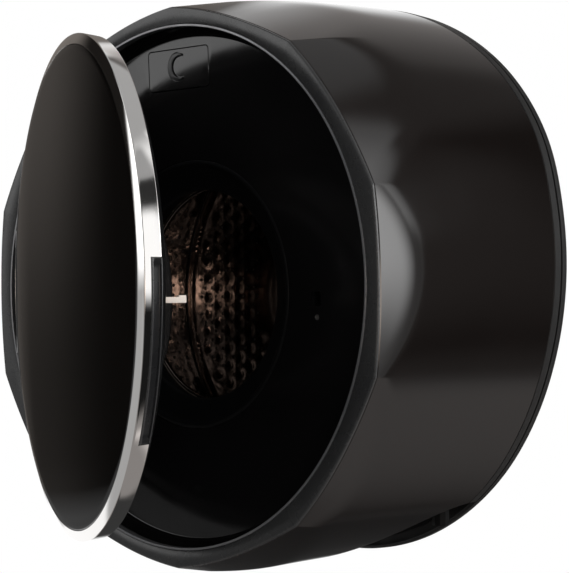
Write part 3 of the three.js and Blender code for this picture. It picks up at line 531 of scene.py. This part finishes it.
def bezel_profile(a):
    rim = rim_radius(a)
    seat = CASING_START - 0.3
    face = [(rim - 2.2, 0.0), (rim - 0.8, 0.35), (rim - 0.15, 1.1), (rim + 0.15, 2.1),
            (rim + 0.2, seat), (rim - 4, seat), (BEZEL_R + 3, CASING_START + 1),
            (BEZEL_R + 2.6, 16), (BEZEL_R, 16)]
    lip = [(BEZEL_R, 2.3), (BEZEL_R + 0.25, 1.75), (BEZEL_R + 0.8, 1.5)]
    return face + lip


TRIM_OUTER_R = BEZEL_R - 0.3
trim_profile = fillet([(TRIM_R, 1), (TRIM_OUTER_R, 1), (TRIM_OUTER_R, 9), (TRIM_R, 9)], 0.5)
piece(shaped("bezel", bezel_profile, 24), SATIN, "cabinet", "front_bezel")
piece(turned("trim_ring", trim_profile, 300), SILVER, "cabinet", "bezel_trim_ring")

# ---- fascia and drawer ----
face_line = fillet(FASCIA_FACE, [0.0, 2.0, 2.4, 0.0], 5, closed=False)


def face_depth(x, z):
    """Depth of the dished fascia at a point of the front."""
    r = math.hypot(x, z)
    pts = sorted(p for p in face_line if p[0] < RING_R + 8.9)
    for (r0, d0), (r1, d1) in zip(pts, pts[1:]):
        if r0 <= r <= r1:
            return d0 + (d1 - d0) * (r - r0) / (r1 - r0)
    return pts[0][1]


def drawer_outline(grow=0.0):
    left, right, bottom, top = DRAWER
    return rounded_rect(left - grow, right + grow, bottom - grow, top + grow, DRAWER_CORNER + grow)


fascia = turned("fascia", face_line + FASCIA_BACK, 300, degrees=26)
cuts = [
    prism("cut", circle(0, AXIS_Z, MOUTH_R, 180), 20, 40),
    prism("cut", drawer_outline(DRAWER_GAP), 0, 60),
    *[block("cut", *HINGE_SLOT_X, -5, 40, z0, z1) for z0, z1 in HINGE_SLOTS_Z],
    prism("cut", rounded_rect(HOOK_X - 7, HOOK_X + 7, HOOK_Z - 6.3, HOOK_Z + 7.3, 1.2, 3), 20, 40),
    prism("cut", circle(LOCK_SCREW_X, LOCK_SCREW_Z, LOCK_SCREW_HOLE_R, 24), 20, 40),
]
boolean(fascia, *cuts, degrees=26)
piece(fascia, GLOSS, "cabinet", "front_fascia")
for place, (z0, z1) in HINGE_POSTS_Z.items():
    post = block(f"hinge_post_{place}", *HINGE_POST_X, 27.2, 33.1, z0, z1)
    piece(bevelled(post, 0.8), PLASTIC, "cabinet")


def crescent(grow=0.0, steps=26):
    """Outline of the drawer's crescent grip, whose horns reach further as it grows."""
    x, z = CRESCENT_MIDDLE
    horn = grow * 8
    return (arc(x, z, 14 + grow, 62 - horn, 298 + horn, steps)
            + arc(x + 3.5, z, 11 - grow, 290 + horn, 70 - horn, steps))


def drawer_front():
    """Rounded panel that follows the dish, with softened edges."""
    cx, cz = (DRAWER[0] + DRAWER[1]) / 2, (DRAWER[2] + DRAWER[3]) / 2
    rounding = ((0.0, 0.55), (0.12, 0.2), (0.5, 0.0))
    loops = [(drawer_outline(-inset), drop) for inset, drop in rounding]
    edge = loops[-1][0]
    loops += [([(cx + (x - cx) * k, cz + (z - cz) * k) for x, z in edge], 0.0)
              for k in (0.94, 0.86, 0.76, 0.64, 0.5, 0.34, 0.17)]
    verts = [(x, DRAWER_BACK, z) for x, z in drawer_outline()]
    for line, drop in loops:
        verts += [(x, face_depth(x, z) + drop, z) for x, z in line]
    n = len(edge)
    faces = quads(len(loops) + 1, n, loop_rows=False, flip=True)
    last = len(loops) * n
    verts.append((cx, face_depth(cx, cz), cz))
    faces += [(last + k, last + (k + 1) % n, len(verts) - 1) for k in range(n)]
    faces.append(tuple(range(n - 1, -1, -1)))
    return solid("drawer_front", verts, faces, 26)


def drawer_tray():
    """Open box behind the drawer's front."""
    left, right = DRAWER[:2]
    tray = block("drawer_tray", left + 4, right - 4, 28.0, 185, 215, 237)
    return boolean(tray, block("cut", left + 6, right - 6, 30, 183, 217, 240))


def drawer_crescent():
    """Grip plate whose face stands a little in front of the dish and follows it."""
    plate = prism("drawer_crescent", crescent(), 0, 26.1)
    for v in plate.data.vertices:
        if v.co.y < (10 - FRONT) * MM:
            v.co.y = (face_depth(v.co.x / MM, v.co.z / MM) - 1.2 - FRONT) * MM
    return bevelled(plate, 0.5, 3, 50)


drawer = drawer_front()
boolean(drawer, prism("cut", crescent(CRESCENT_GAP), 0, 26.4), degrees=26)
piece(drawer, GLOSS, "cabinet", "detergent_drawer")
piece(drawer_tray(), IVORY, "cabinet")
piece(drawer_crescent(), PLASTIC, "cabinet", "drawer_grip")

# ---- gasket ----
gasket = fillet([
    (133.6, 28.6), (130, 28.0), (127, 31), (106, 40.7), (103.6, 43.4), (109.6, 50.4),
    (109.6, 61), (112, 61), (112, 50.2), (108.2, 44.4), (128, 35), (133.6, 33.8),
], [0.6, 1.8, 1.5, 3.0, 2.0, 2.5, 0.7, 0.7, 2.0, 1.5, 1.5, 0.6], 4)
piece(turned("gasket", gasket, 180, z=AXIS_Z, degrees=50), RUBBER, "cabinet", "door_gasket")


# ---- perforated drum ----
WALL_R = DRUM_R - 0.7                # middle of the wall's sheet
WALL_LENGTH = 2 * math.pi * WALL_R
WALL_COLUMNS = 78
WALL_FROM, WALL_TO = 77.2, 205.6
BACK_R = 199.4


def perforated(outline, dimples, holes, hole_sides, extra, keep=lambda x, y: True):
    """Triangulates a flat sheet, finer at its dimples. Returns its points and triangles."""
    pts, edges = [], []

    def loop(points):
        base = len(pts)
        pts.extend(points)
        edges.extend((base + k, base + (k + 1) % len(points)) for k in range(len(points)))

    loop(outline)
    for x, y in holes:
        loop(circle(x, y, HOLE_R, hole_sides, shift=0.5))
    for x, y in dimples:
        pts.append((x, y))
        for share, n in ((0.34, 6), (0.68, 10), (1.0, 12)):
            pts.extend(circle(x, y, share * DIMPLE_R, n))
    pts.extend(extra)
    flat, _, triangles = delaunay_2d_cdt([Vector(p) for p in pts], edges, [], 0, 1e-6)[:3]
    centres = np.array(holes)
    good = []
    for t in triangles:
        c = (flat[t[0]] + flat[t[1]] + flat[t[2]]) / 3
        away = np.hypot(centres[:, 0] - c.x, centres[:, 1] - c.y)
        if keep(c.x, c.y) and not (away < HOLE_R * 0.86).any():
            good.append(tuple(t))
    return [(v.x, v.y) for v in flat], good


def gridded(points):
    """The points by the PITCH wide cell that they lie in."""
    out = {}
    for x, y in points:
        out.setdefault((int(x // PITCH), int(y // PITCH)), []).append((x, y))
    return out


def dimple_height(x, y, grid, height):
    """Rise of the pressed dimple nearest to a point."""
    gx, gy = int(x // PITCH), int(y // PITCH)
    for i in (gx - 1, gx, gx + 1):
        for j in (gy - 1, gy, gy + 1):
            for cx, cy in grid.get((i, j), ()):
                q = ((x - cx) ** 2 + (y - cy) ** 2) / (DIMPLE_R * DIMPLE_R)
                if q < 1:
                    return height * (1 - q) ** 2 * (1 + q)
    return 0.0


def bead(at, middle, width, height):
    """Height of a rolled bead at a distance from its middle."""
    return height * math.exp(-((at - middle) / width) ** 2)


def lattice(columns, rows, spacing, allowed, shift=0.0, start=0.0):
    """Dimple centres in staggered columns, and the small holes between them."""
    dimples, holes = [], set()
    for i in columns:
        for j in rows:
            x, y = (i + shift) * spacing, start + (j + (i % 2) / 2) * PITCH
            if allowed(x, y, DIMPLE_R):
                dimples.append((x, y))
            for hx in (x - spacing * 2 / 3, x + spacing * 2 / 3):
                if allowed(hx, y, HOLE_R):
                    holes.add((round(hx, 3), round(y, 3)))
    return dimples, sorted(holes)


def back_plate():
    """Dimpled plate, dished towards its hub, with two beads near its rim."""
    inner_r, outer_r = 84.0, 181.0

    def allowed(x, y, r):
        return inner_r + r <= math.hypot(x, y) <= outer_r - r

    dimples, holes = lattice(range(-14, 15), range(-12, 13), PITCH * math.sqrt(3) / 2, allowed)
    near = gridded(dimples)
    extra = []
    for r in (12, 26, 40, 48, 53, 57, 61, 65, 70, 76, 184, 186.5, 189, 191.5, 194, 196.5):
        extra += circle(0, 0, r, max(12, int(2 * math.pi * r / 5.5)))
    extra.append((0.0, 0.0))
    pts, triangles = perforated(circle(0, 0, BACK_R, 220), dimples, holes, 10, extra,
                                lambda x, y: math.hypot(x, y) <= BACK_R + 1e-6)
    dish_r, dish_d = zip((0, 199.0), (40, 199.3), (52, 199.9), (60, 201.6), (66, 203.4),
                         (72, 204.1), (BACK_R + 0.2, 204.7))

    def depth(x, y):
        r = math.hypot(x, y)
        beads = -bead(r, 191.0, 2.4, 2.1) - bead(r, 184.6, 1.3, 1.0)
        return float(np.interp(r, dish_r, dish_d)) + beads + dimple_height(x, y, near, 1.5)

    verts = [(x, depth(x, y), AXIS_Z + y) for x, y in pts]
    return thickened(solid("drum_back_plate", verts, triangles, 60), 1.2)


def drum_wall():
    """Dimpled sheet rolled up, with a bead near each edge. A sheet point is (length, depth)."""
    def allowed(x, y, r):
        return 86 + r <= y <= 198 - r and r + 0.2 < x < WALL_LENGTH - r - 0.2

    dimples, holes = lattice(range(WALL_COLUMNS), range(-1, 12), WALL_LENGTH / WALL_COLUMNS,
                             allowed, shift=0.5, start=80)
    near = gridded(dimples)
    steps, side_steps = 220, 26
    rise = [(WALL_TO - WALL_FROM) * k / side_steps for k in range(1, side_steps)]
    outline = [(WALL_LENGTH * k / steps, WALL_FROM) for k in range(steps + 1)]
    outline += [(WALL_LENGTH, WALL_FROM + up) for up in rise]
    outline += [(WALL_LENGTH * (steps - k) / steps, WALL_TO) for k in range(steps + 1)]
    outline += [(0.0, WALL_TO - down) for down in rise]
    extra = [(WALL_LENGTH * (k + 0.5) / steps, d) for d in (79, 81, 84, 199.5, 201.5, 203.5)
             for k in range(steps)]
    pts, triangles = perforated(outline, dimples, holes, 8, extra)
    verts = []
    for s, d in pts:
        a = 2 * math.pi * s / WALL_LENGTH
        r = WALL_R + 0.4 * dimple_height(s, d, near, 1.3)
        r -= bead(d, 81.5, 1.6, 1.6) + bead(d, 201.0, 1.5, 1.4)
        verts.append((r * math.cos(a), d, AXIS_Z + r * math.sin(a)))
    return thickened(solid("drum_wall", verts, triangles, 60), 1.0)


piece(drum_wall(), SHADED_STEEL, "drum", "drum_shell")
piece(back_plate(), SHADED_STEEL, "drum", "drum_back")
front_flange = fillet([
    (107, 63.6), (111, 63.6), (111, 67.2), (196, 69), (DRUM_R, 76), (DRUM_R, 77),
    (DRUM_R - 1.4, 77.0), (195.2, 70.6), (107, 69.2),
], [1.6, 1.6, 1.2, 2.5, 2.5, 0, 0, 2.0, 2.2], 4)
piece(turned("drum_front", front_flange, 220, z=AXIS_Z, degrees=40), SHADED_STEEL, "drum")


def lifter(name, turn):
    """Hollow-sided paddle with rounded ends."""
    d_from, d_to, half_width, end_length = 84, 194, 25, 20
    steps, side_steps = 24, 10
    a = -math.radians(turn)
    c, s = math.cos(a), math.sin(a)
    rows = []
    for k in range(steps + 1):
        t = k / steps
        d = d_from + (d_to - d_from) * t
        end = min(t, 1 - t) * (d_to - d_from)
        swell = math.sqrt(max(0.0, 1 - (1 - min(end / end_length, 1)) ** 2))
        width = half_width - 3 * (1 - swell)
        height = 4 + 28.5 * swell
        line = []
        for q in range(-side_steps, side_steps + 1):
            u = q / side_steps
            rise = height * math.exp(-(abs(u) * 2.15) ** 2.2)
            x = u * width
            line.append((x, -math.sqrt((DRUM_R - 2.1) ** 2 - x * x) + max(rise, 0.25)))
        for q in range(side_steps, -side_steps - 1, -1):
            x = q / side_steps * width
            line.append((x, -math.sqrt((DRUM_R - 1.9) ** 2 - x * x)))
        rows.append([(x * c - z * s, d, AXIS_Z + x * s + z * c) for x, z in line])
    return swept(name, rows, 40)


for i, letter in enumerate("abc"):
    piece(lifter(f"paddle_{letter}", 40 + i * 120), SHADED_STEEL, "drum", f"drum_lifter_{letter}")

# ---- door ----
ring_profile = fillet([
    (GLASS_R + 0.25, -6.5), (RING_R, -2.9), (RING_R, -1.6), (RING_REAR_R, 13.8),
    (GLASS_R + 0.25, 13.8),
], [0.35, 0.5, 0.5, 0.9, 0.3], 4)


def sector(r0, r1, start, end):
    return arc(0, 0, r1, start, end, 48) + arc(0, 0, r0, start, end, 48)[::-1]


ring = turned("chrome_ring", ring_profile, 360, degrees=24)
grip_gap = sector(GLASS_R + 1.4, RING_R + 16, GRIP_DEG[0] - 0.1, GRIP_DEG[1] + 0.1)
boolean(ring, prism("cut", grip_gap, 3.2, 20), degrees=24)
piece(hang(ring), CHROME, "door", "door_ring")

glass_profile = [
    (0.0, -12.5), (20, -12.45), (45, -12.28), (80, -11.8), (120, -10.9), (160, -9.7), (200, -8.1),
    (226, -6.75), (231.5, -6.4), (232.6, -6.15), (GLASS_R - 0.05, -5.6), (GLASS_R - 0.05, -2.8),
    (120, -6.2), (0.0, -9.0),
]
glass = turned("glass", glass_profile, 300, closed=False, degrees=30)
piece(hang(glass), GLASS, "door", "door_glass")


def grip_profile(t):
    """Channel section of the finger pull; t runs from end to end."""
    end = min(t, 1 - t)
    hollow = math.sqrt(min(max((end - 0.012) / 0.03, 0.0), 1.0))
    round_off = 0.5 * (1 - min(end / 0.01, 1.0))
    outer = RING_R - 1.0 - round_off
    floor = outer - 0.35 - 3.6 * hollow
    back = GLASS_R + 2.3
    return [(back, 3.6), (outer - 0.5, 3.6), (outer, 4.1), (outer - 0.1, 5.4), (outer - 0.45, 5.9),
            (floor + 0.2, 6.4), (floor, 7.2), (floor, 11.4), (floor + 0.2, 12.2),
            (outer - 1.5, 12.8), (outer - 1.0, 13.3), (outer - 1.2, 14.0), (outer - 1.7, 14.4),
            (back, 14.4)]


def door_grip():
    steps = 72
    rows = []
    for i in range(steps + 1):
        t = i / steps
        a = math.radians(GRIP_DEG[0] + (GRIP_DEG[1] - GRIP_DEG[0]) * t)
        rows.append([(r * math.cos(a), d, r * math.sin(a)) for r, d in grip_profile(t)])
    return swept("finger_pull", rows, 35)


piece(hang(door_grip()), GRIP, "door", "door_grip")

frame_profile = fillet([
    (GLASS_R - 0.1, -2.4), (GLASS_R - 0.1, 14.2), (GLASS_R - 11, 23.2), (131, 27), (126.5, 25),
    (126.5, 20), (133, 20), (133, 23), (GLASS_R - 13, 18.4), (GLASS_R - 3.6, 11),
    (GLASS_R - 3.6, -2.4),
], [0.3, 1.2, 4.0, 1.8, 1.2, 0.6, 0.5, 0.5, 2.0, 1.0, 0.3], 4)
SCREW_CIRCLE_R = GLASS_R - 19
inner_frame = turned("door_back_frame", frame_profile, 240, degrees=30)
cuts = [block("cut", HINGE_X + 5.1, HINGE_X + 47.1, 14.1, 17.9, -62, 62)]
for a in (math.radians(130), math.radians(250)):
    x, z = SCREW_CIRCLE_R * math.cos(a), SCREW_CIRCLE_R * math.sin(a)
    cuts.append(prism("cut", circle(x, z, 4, 24), 21.4, 30))
cuts.append(block("cut", HOOK_X - 9, HOOK_X + 9, 22.8, 30, HOOK_Z - 12, HOOK_Z + 12))
boolean(inner_frame, *cuts, degrees=30)
piece(hang(inner_frame), PLASTIC, "door", "door_inner_frame")

BOWL_FLANGE, BOWL_REACH = 22, 53     # where the bowl starts to lean, and how deep it is from there
BOWL_OUT, BOWL_IN = 75.4, 71.4
bowl_line = fillet([
    (0.01, BOWL_OUT), (60, 74.8), (80, 72.4), (88, 68.4), (92, 62), (99, 43), (116.6, 19.7),
    (132.6, 19.7), (132.6, 16.6), (112.6, 16.6), (95, 42), (88, 60.6), (77, 68.6), (0.01, BOWL_IN),
], [0, 12, 8, 6, 6, 16, 1.5, 0.5, 0.5, 1.5, 16, 6, 8, 0], 5, closed=False)


def bowl():
    """Bowl that leans down towards its end."""
    def lean(d):
        return BOWL_Z * max(d - BOWL_FLANGE, 0) / BOWL_REACH

    segments, n = 180, len(bowl_line)
    verts = []
    for i in range(segments):
        a = 2 * math.pi * i / segments
        verts += [(r * math.cos(a), d, r * math.sin(a) + lean(d)) for r, d in bowl_line]
    faces = quads(segments, n, loop_line=False)
    verts += [(0, d, lean(d)) for d in (BOWL_OUT, BOWL_IN)]
    for i in range(segments):
        j = (i + 1) % segments
        faces.append((i * n, len(verts) - 2, j * n))
        faces.append((i * n + n - 1, j * n + n - 1, len(verts) - 1))
    return solid("bowl", verts, faces, 60)


piece(hang(bowl()), SMOKE, "door", "door_bowl")


def latch_hook():
    """Bar with a nose at its tip and an eye behind the nose."""
    left, right = HOOK_X - HOOK_HALF_WIDE, HOOK_X + HOOK_HALF_WIDE
    low, high = HOOK_Z - HOOK_HALF_THICK, HOOK_Z + HOOK_HALF_THICK
    hook = block("hook_bar", left, right, 24.6, HOOK_TIP, low, high)
    nose = block("nose", left, right, HOOK_TIP - 7, HOOK_TIP, low, HOOK_Z + 4.2)
    boolean(hook, nose, operation="UNION")
    boolean(hook, block("cut", HOOK_X - 2.6, HOOK_X + 2.6, 40, 47, HOOK_Z - 6, HOOK_Z + 6))
    return bevelled(hook, 0.5)


piece(hang(latch_hook()), CREAM, "latch", "latch_hook")


# ---- back ----
def cover_profile(a):
    """Back cover with a narrow seam where the casing ends, and the hole for the pipes."""
    r = casing_radius(a, CASING_END)
    seam = [(r - 3.4, 268), (r - 3.4, 269.5), (r - 0.9, 270.1)]
    edge = [(r - 0.8, 276.2), (r - 1.1, 277.0), (r - 1.9, 277.4)]
    hole = [(60.6, 277.4), (60, 276.8), (60, 275)]
    return seam + edge + hole + [(r - 4, 275), (r - 4, 268)]


MOUNT_X, MOUNT_Z, MOUNT_R = 150, 125, 12
rear = shaped("rear_panel", cover_profile, 30)
mounts = [(sx * MOUNT_X, AXIS_Z + sz * MOUNT_Z) for sx, sz in ((1, 1), (-1, 1), (1, -1), (-1, -1))]
boolean(rear, *[prism("cut", circle(x, z, MOUNT_R, 32), 270, 290) for x, z in mounts], degrees=30)
piece(rear, MATTE, "cabinet", "rear_cover")

# ---- stage: floor, camera, light; in metres ----
FLOOR_Z = -0.62
FLOOR_X, FLOOR_FRONT, FLOOR_BACK = 1.9, -2.0, 1.7
floor_mesh = bpy.data.meshes.new("floor")
floor_mesh.from_pydata([(-FLOOR_X, FLOOR_FRONT, FLOOR_Z), (FLOOR_X, FLOOR_FRONT, FLOOR_Z),
                        (FLOOR_X, FLOOR_BACK, FLOOR_Z), (-FLOOR_X, FLOOR_BACK, FLOOR_Z)],
                       [], [(0, 1, 2, 3)])
floor = link(bpy.data.objects.new("floor", floor_mesh))
floor_mat = bpy.data.materials.new("floor_pale")
floor_mat.use_nodes = True
floor_bsdf = floor_mat.node_tree.nodes["Principled BSDF"]
floor_bsdf.inputs["Base Color"].default_value = (0.86, 0.86, 0.86, 1)
floor_bsdf.inputs["Roughness"].default_value = 0.8
floor.data.materials.append(floor_mat)
floor.visible_glossy = False

AIM = Vector((0.1565, -0.281, -0.00275))
CAMERA_AWAY = 2.055
AZIMUTH, ELEVATION, ROLL = math.radians(44.83), math.radians(-0.93), math.radians(-0.767)
FOCAL_PIXELS, PHOTO_HEIGHT = 2188.8, 573
SENSOR = 36


def photo_camera():
    """Camera that looks at AIM as the photograph's does."""
    level = math.cos(ELEVATION)
    back = Vector((math.sin(AZIMUTH) * level, -math.cos(AZIMUTH) * level, math.sin(ELEVATION)))
    flat = Vector((math.cos(AZIMUTH), math.sin(AZIMUTH), 0))
    upright = back.cross(flat)
    right = flat * math.cos(ROLL) + upright * math.sin(ROLL)
    up = upright * math.cos(ROLL) - flat * math.sin(ROLL)
    data = bpy.data.cameras.new("camera")
    data.sensor_width = SENSOR
    data.lens = FOCAL_PIXELS / PHOTO_HEIGHT * SENSOR
    data.clip_start, data.clip_end = 0.05, 50
    ob = link(bpy.data.objects.new("camera", data))
    ob.matrix_world = Matrix((right, up, back)).transposed().to_4x4()
    ob.location = AIM + back * CAMERA_AWAY
    return ob


bpy.context.scene.camera = photo_camera()


def studio_world():
    """White for the eye and for reflections, and a weaker, cooler fill for the shading."""
    world = bpy.data.worlds.new("studio")
    world.use_nodes = True
    nt = world.node_tree
    nt.nodes.clear()

    def backdrop(colour, strength):
        node = nt.nodes.new("ShaderNodeBackground")
        node.inputs["Color"].default_value = colour
        node.inputs["Strength"].default_value = strength
        return node.outputs[0]

    def either(first, second):
        node = nt.nodes.new("ShaderNodeMath")
        node.operation = "MAXIMUM"
        nt.links.new(first, node.inputs[0])
        nt.links.new(second, node.inputs[1])
        return node.outputs[0]

    rays = nt.nodes.new("ShaderNodeLightPath").outputs
    seen = either(either(rays["Is Camera Ray"], rays["Is Glossy Ray"]), rays["Is Transmission Ray"])
    blend = nt.nodes.new("ShaderNodeMixShader")
    nt.links.new(seen, blend.inputs[0])
    nt.links.new(backdrop((0.96, 0.98, 1.0, 1), 0.45), blend.inputs[1])
    nt.links.new(backdrop((1, 1, 1, 1), 1.0), blend.inputs[2])
    nt.links.new(blend.outputs[0], nt.nodes.new("ShaderNodeOutputWorld").inputs[0])
    return world


bpy.context.scene.world = studio_world()

DOME_CENTRE = Vector((0, -0.15, 0))
DOME_RADIUS = 3.3
DOME_END = 89.5          # elevation of its end caps
WARM = (1.0, 0.94, 0.91)
TAN = (1.0, 0.90, 0.82)
GLOW = (1.0, 0.84, 0.72)
NEUTRAL = (1.0, 1.0, 1.0)
# What the glossy surfaces see: soft boxes and flags on a white dome, later ones over earlier ones.
# Each has its azimuths from +X towards +Y and its elevations in degrees, its level at either end of
# the azimuths, its feather across and up, and its tint.
SOFT_BOXES = [
    ("ceiling", (-180, 180), (54, 90), (0.42, 0.42), (0, 10), NEUTRAL),
    ("ground", (-180, 180), (-90, -24), (0.27, 0.27), (0, 10), WARM),
    ("left_ceiling", (140, 235), (50, 80), (0.12, 0.12), (20, 8), NEUTRAL),
    ("pale_ground", (24, 108), (-60, -26), (0.85, 0.03), (8, 5), WARM),
    ("black_ground", (106, 143), (-80, -14), (0.04, 0.04), (10, 10), NEUTRAL),
    ("left_ground", (160, 192), (-40, -9.3), (0.16, 0.16), (3, 0.8), NEUTRAL),
    ("bright_ground", (143, 190), (-40, -14), (1.1, 1.1), (6, 1.5), NEUTRAL),
    ("bright_corner", (141, 160), (-24, -9), (1.1, 1.1), (4, 1), NEUTRAL),
    ("dark_room", (44, 126), (-25, 56), (0.17, 0.12), (6, 4), WARM),
    ("room_core", (51.5, 120), (-20, 36), (0.05, 0.05), (6, 10), WARM),
    ("back_wall", (86, 132), (24, 50), (0.25, 0.5), (14, 10), WARM),
    ("back_window", (114, 136), (2, 29), (0.8, 1.4), (5, 10), NEUTRAL),
    ("left_wall", (136, 209), (-9.3, 54), (0.045, 0.045), (4, 0.8), TAN),
    ("left_high", (136, 190), (4, 54), (0.17, 0.17), (4, 16), TAN),
    ("left_near", (138, 166), (-9.3, 54), (0.19, 0.19), (5, 0.8), TAN),
    ("left_core", (175, 207), (-9.3, 46), (0.012, 0.012), (10, 0.8), TAN),
    ("front_low", (190, 222), (-26, 2), (0.42, 0.42), (8, 5), NEUTRAL),
    ("front_dark", (222, 345), (-26, 3), (0.10, 0.10), (6, 5), NEUTRAL),
    ("front_room", (246, 342), (0, 58), (0.06, 0.06), (12, 6), NEUTRAL),
    ("front_window", (209, 240), (3, 30), (1.9, 1.9), (7, 6), NEUTRAL),
    ("warm_window", (310, 322), (-10, 3), (8.0, 8.0), (5, 6), GLOW),
    ("right_low", (-45, 16), (-56, -6), (0.01, 0.01), (8, 8), NEUTRAL),
    ("right_room", (-70, 24), (27, 54), (0.38, 0.38), (8, 4), NEUTRAL),
    ("flag", (-24, 24), (30, 41), (0.03, 0.03), (4, 2), NEUTRAL),
    ("window", (-18, 12), (-3, 28), (1.2, 1.2), (5, 5), NEUTRAL),
    ("high_corner", (38, 50), (45, 56), (0.9, 0.9), (6, 4), NEUTRAL),
    ("tall_strip", (37, 46.5), (20, 54), (2.1, 0.9), (3, 9), NEUTRAL),
    ("strip_top", (30, 46.5), (10, 25), (3.6, 0.9), (4, 8), NEUTRAL),
    ("strip_foot", (19, 44), (-22, 12), (1.1, 0.3), (5, 8), NEUTRAL),
    ("strip", (18, 37.5), (-3, 26), (9.3, 0.2), (4, 18), NEUTRAL),
]


def eased(t):
    """0 to 1, with a soft start and end."""
    t = min(max(t, 0.0), 1.0)
    return t * t * (3 - 2 * t)


def dome_level(azimuth, elevation):
    """Colour of the dome in one direction."""
    colour = Vector(NEUTRAL)
    for _, (a0, a1), (e0, e1), (level0, level1), (soft_a, soft_e), tint in SOFT_BOXES:
        off = (azimuth - (a0 + a1) / 2 + 180) % 360 - 180
        half = (a1 - a0) / 2
        across = 1.0 if soft_a == 0 else eased((half - abs(off)) / soft_a + 0.5)
        below_top = 1.0 if e1 >= 90 else eased((e1 - elevation) / soft_e + 0.5)
        above_foot = 1.0 if e0 <= -90 else eased((elevation - e0) / soft_e + 0.5)
        along = min(max(off / half / 2 + 0.5, 0.0), 1.0)
        level = level0 + (level1 - level0) * along
        colour = colour.lerp(Vector(tint) * level, across * below_top * above_foot)
    return colour


def studio_dome():
    """Sphere round the object that only reflections see."""
    columns, rows = 240, 120
    verts, colours = [], []
    for j in range(rows + 1):
        elevation = -DOME_END + 2 * DOME_END * j / rows
        for i in range(columns):
            azimuth = 360 * i / columns
            a, e = math.radians(azimuth), math.radians(elevation)
            out = Vector((math.cos(a) * math.cos(e), math.sin(a) * math.cos(e), math.sin(e)))
            verts.append(tuple(DOME_CENTRE + DOME_RADIUS * out))
            colours.extend((*dome_level(azimuth, elevation), 1.0))
    faces = quads(rows + 1, columns, loop_rows=False, flip=True)
    faces += [tuple(range(columns)), tuple(range(rows * columns, (rows + 1) * columns))]
    me = bpy.data.meshes.new("studio_dome")
    me.from_pydata(verts, [], faces)
    me.attributes.new("glow", "FLOAT_COLOR", "POINT").data.foreach_set("color", colours)
    mat = bpy.data.materials.new("studio_dome")
    mat.use_nodes = True
    nt = mat.node_tree
    nt.nodes.clear()
    glow = nt.nodes.new("ShaderNodeAttribute")
    glow.attribute_name = "glow"
    emission = nt.nodes.new("ShaderNodeEmission")
    nt.links.new(glow.outputs["Color"], emission.inputs["Color"])
    surface_out = nt.nodes.new("ShaderNodeOutputMaterial")
    nt.links.new(emission.outputs[0], surface_out.inputs["Surface"])
    mat.cycles.emission_sampling = "NONE"
    me.materials.append(mat)
    ob = link(bpy.data.objects.new("studio_dome", me))
    ob.visible_camera = ob.visible_diffuse = ob.visible_transmission = False
    ob.visible_volume_scatter = ob.visible_shadow = False


studio_dome()


def lamp(name, location, target, size, power, colour=NEUTRAL, glossy=False):
    """Round area lamp; with glossy True it shows in reflections too."""
    data = bpy.data.lights.new(name, "AREA")
    data.shape, data.size, data.energy, data.color = "DISK", size, power, colour
    ob = link(bpy.data.objects.new(name, data))
    ob.location = Vector(location)
    ob.rotation_mode = "QUATERNION"
    ob.rotation_quaternion = (Vector(target) - Vector(location)).to_track_quat("-Z", "Y")
    ob.visible_glossy = glossy


lamp("lamp_key", (-0.9, -2.2, 1.9), (0, -0.2, 0), 1.4, 38)
lamp("lamp_right", (2.0, -1.0, 1.0), (0, -0.2, 0), 1.2, 26)
lamp("lamp_drum", (0.62, -1.35, 0.15), (-0.12, -0.10, -0.03), 0.25, 0.4, (1.0, 0.86, 0.74),
     glossy=True)

bpy.context.scene.view_settings.view_transform = "Standard"
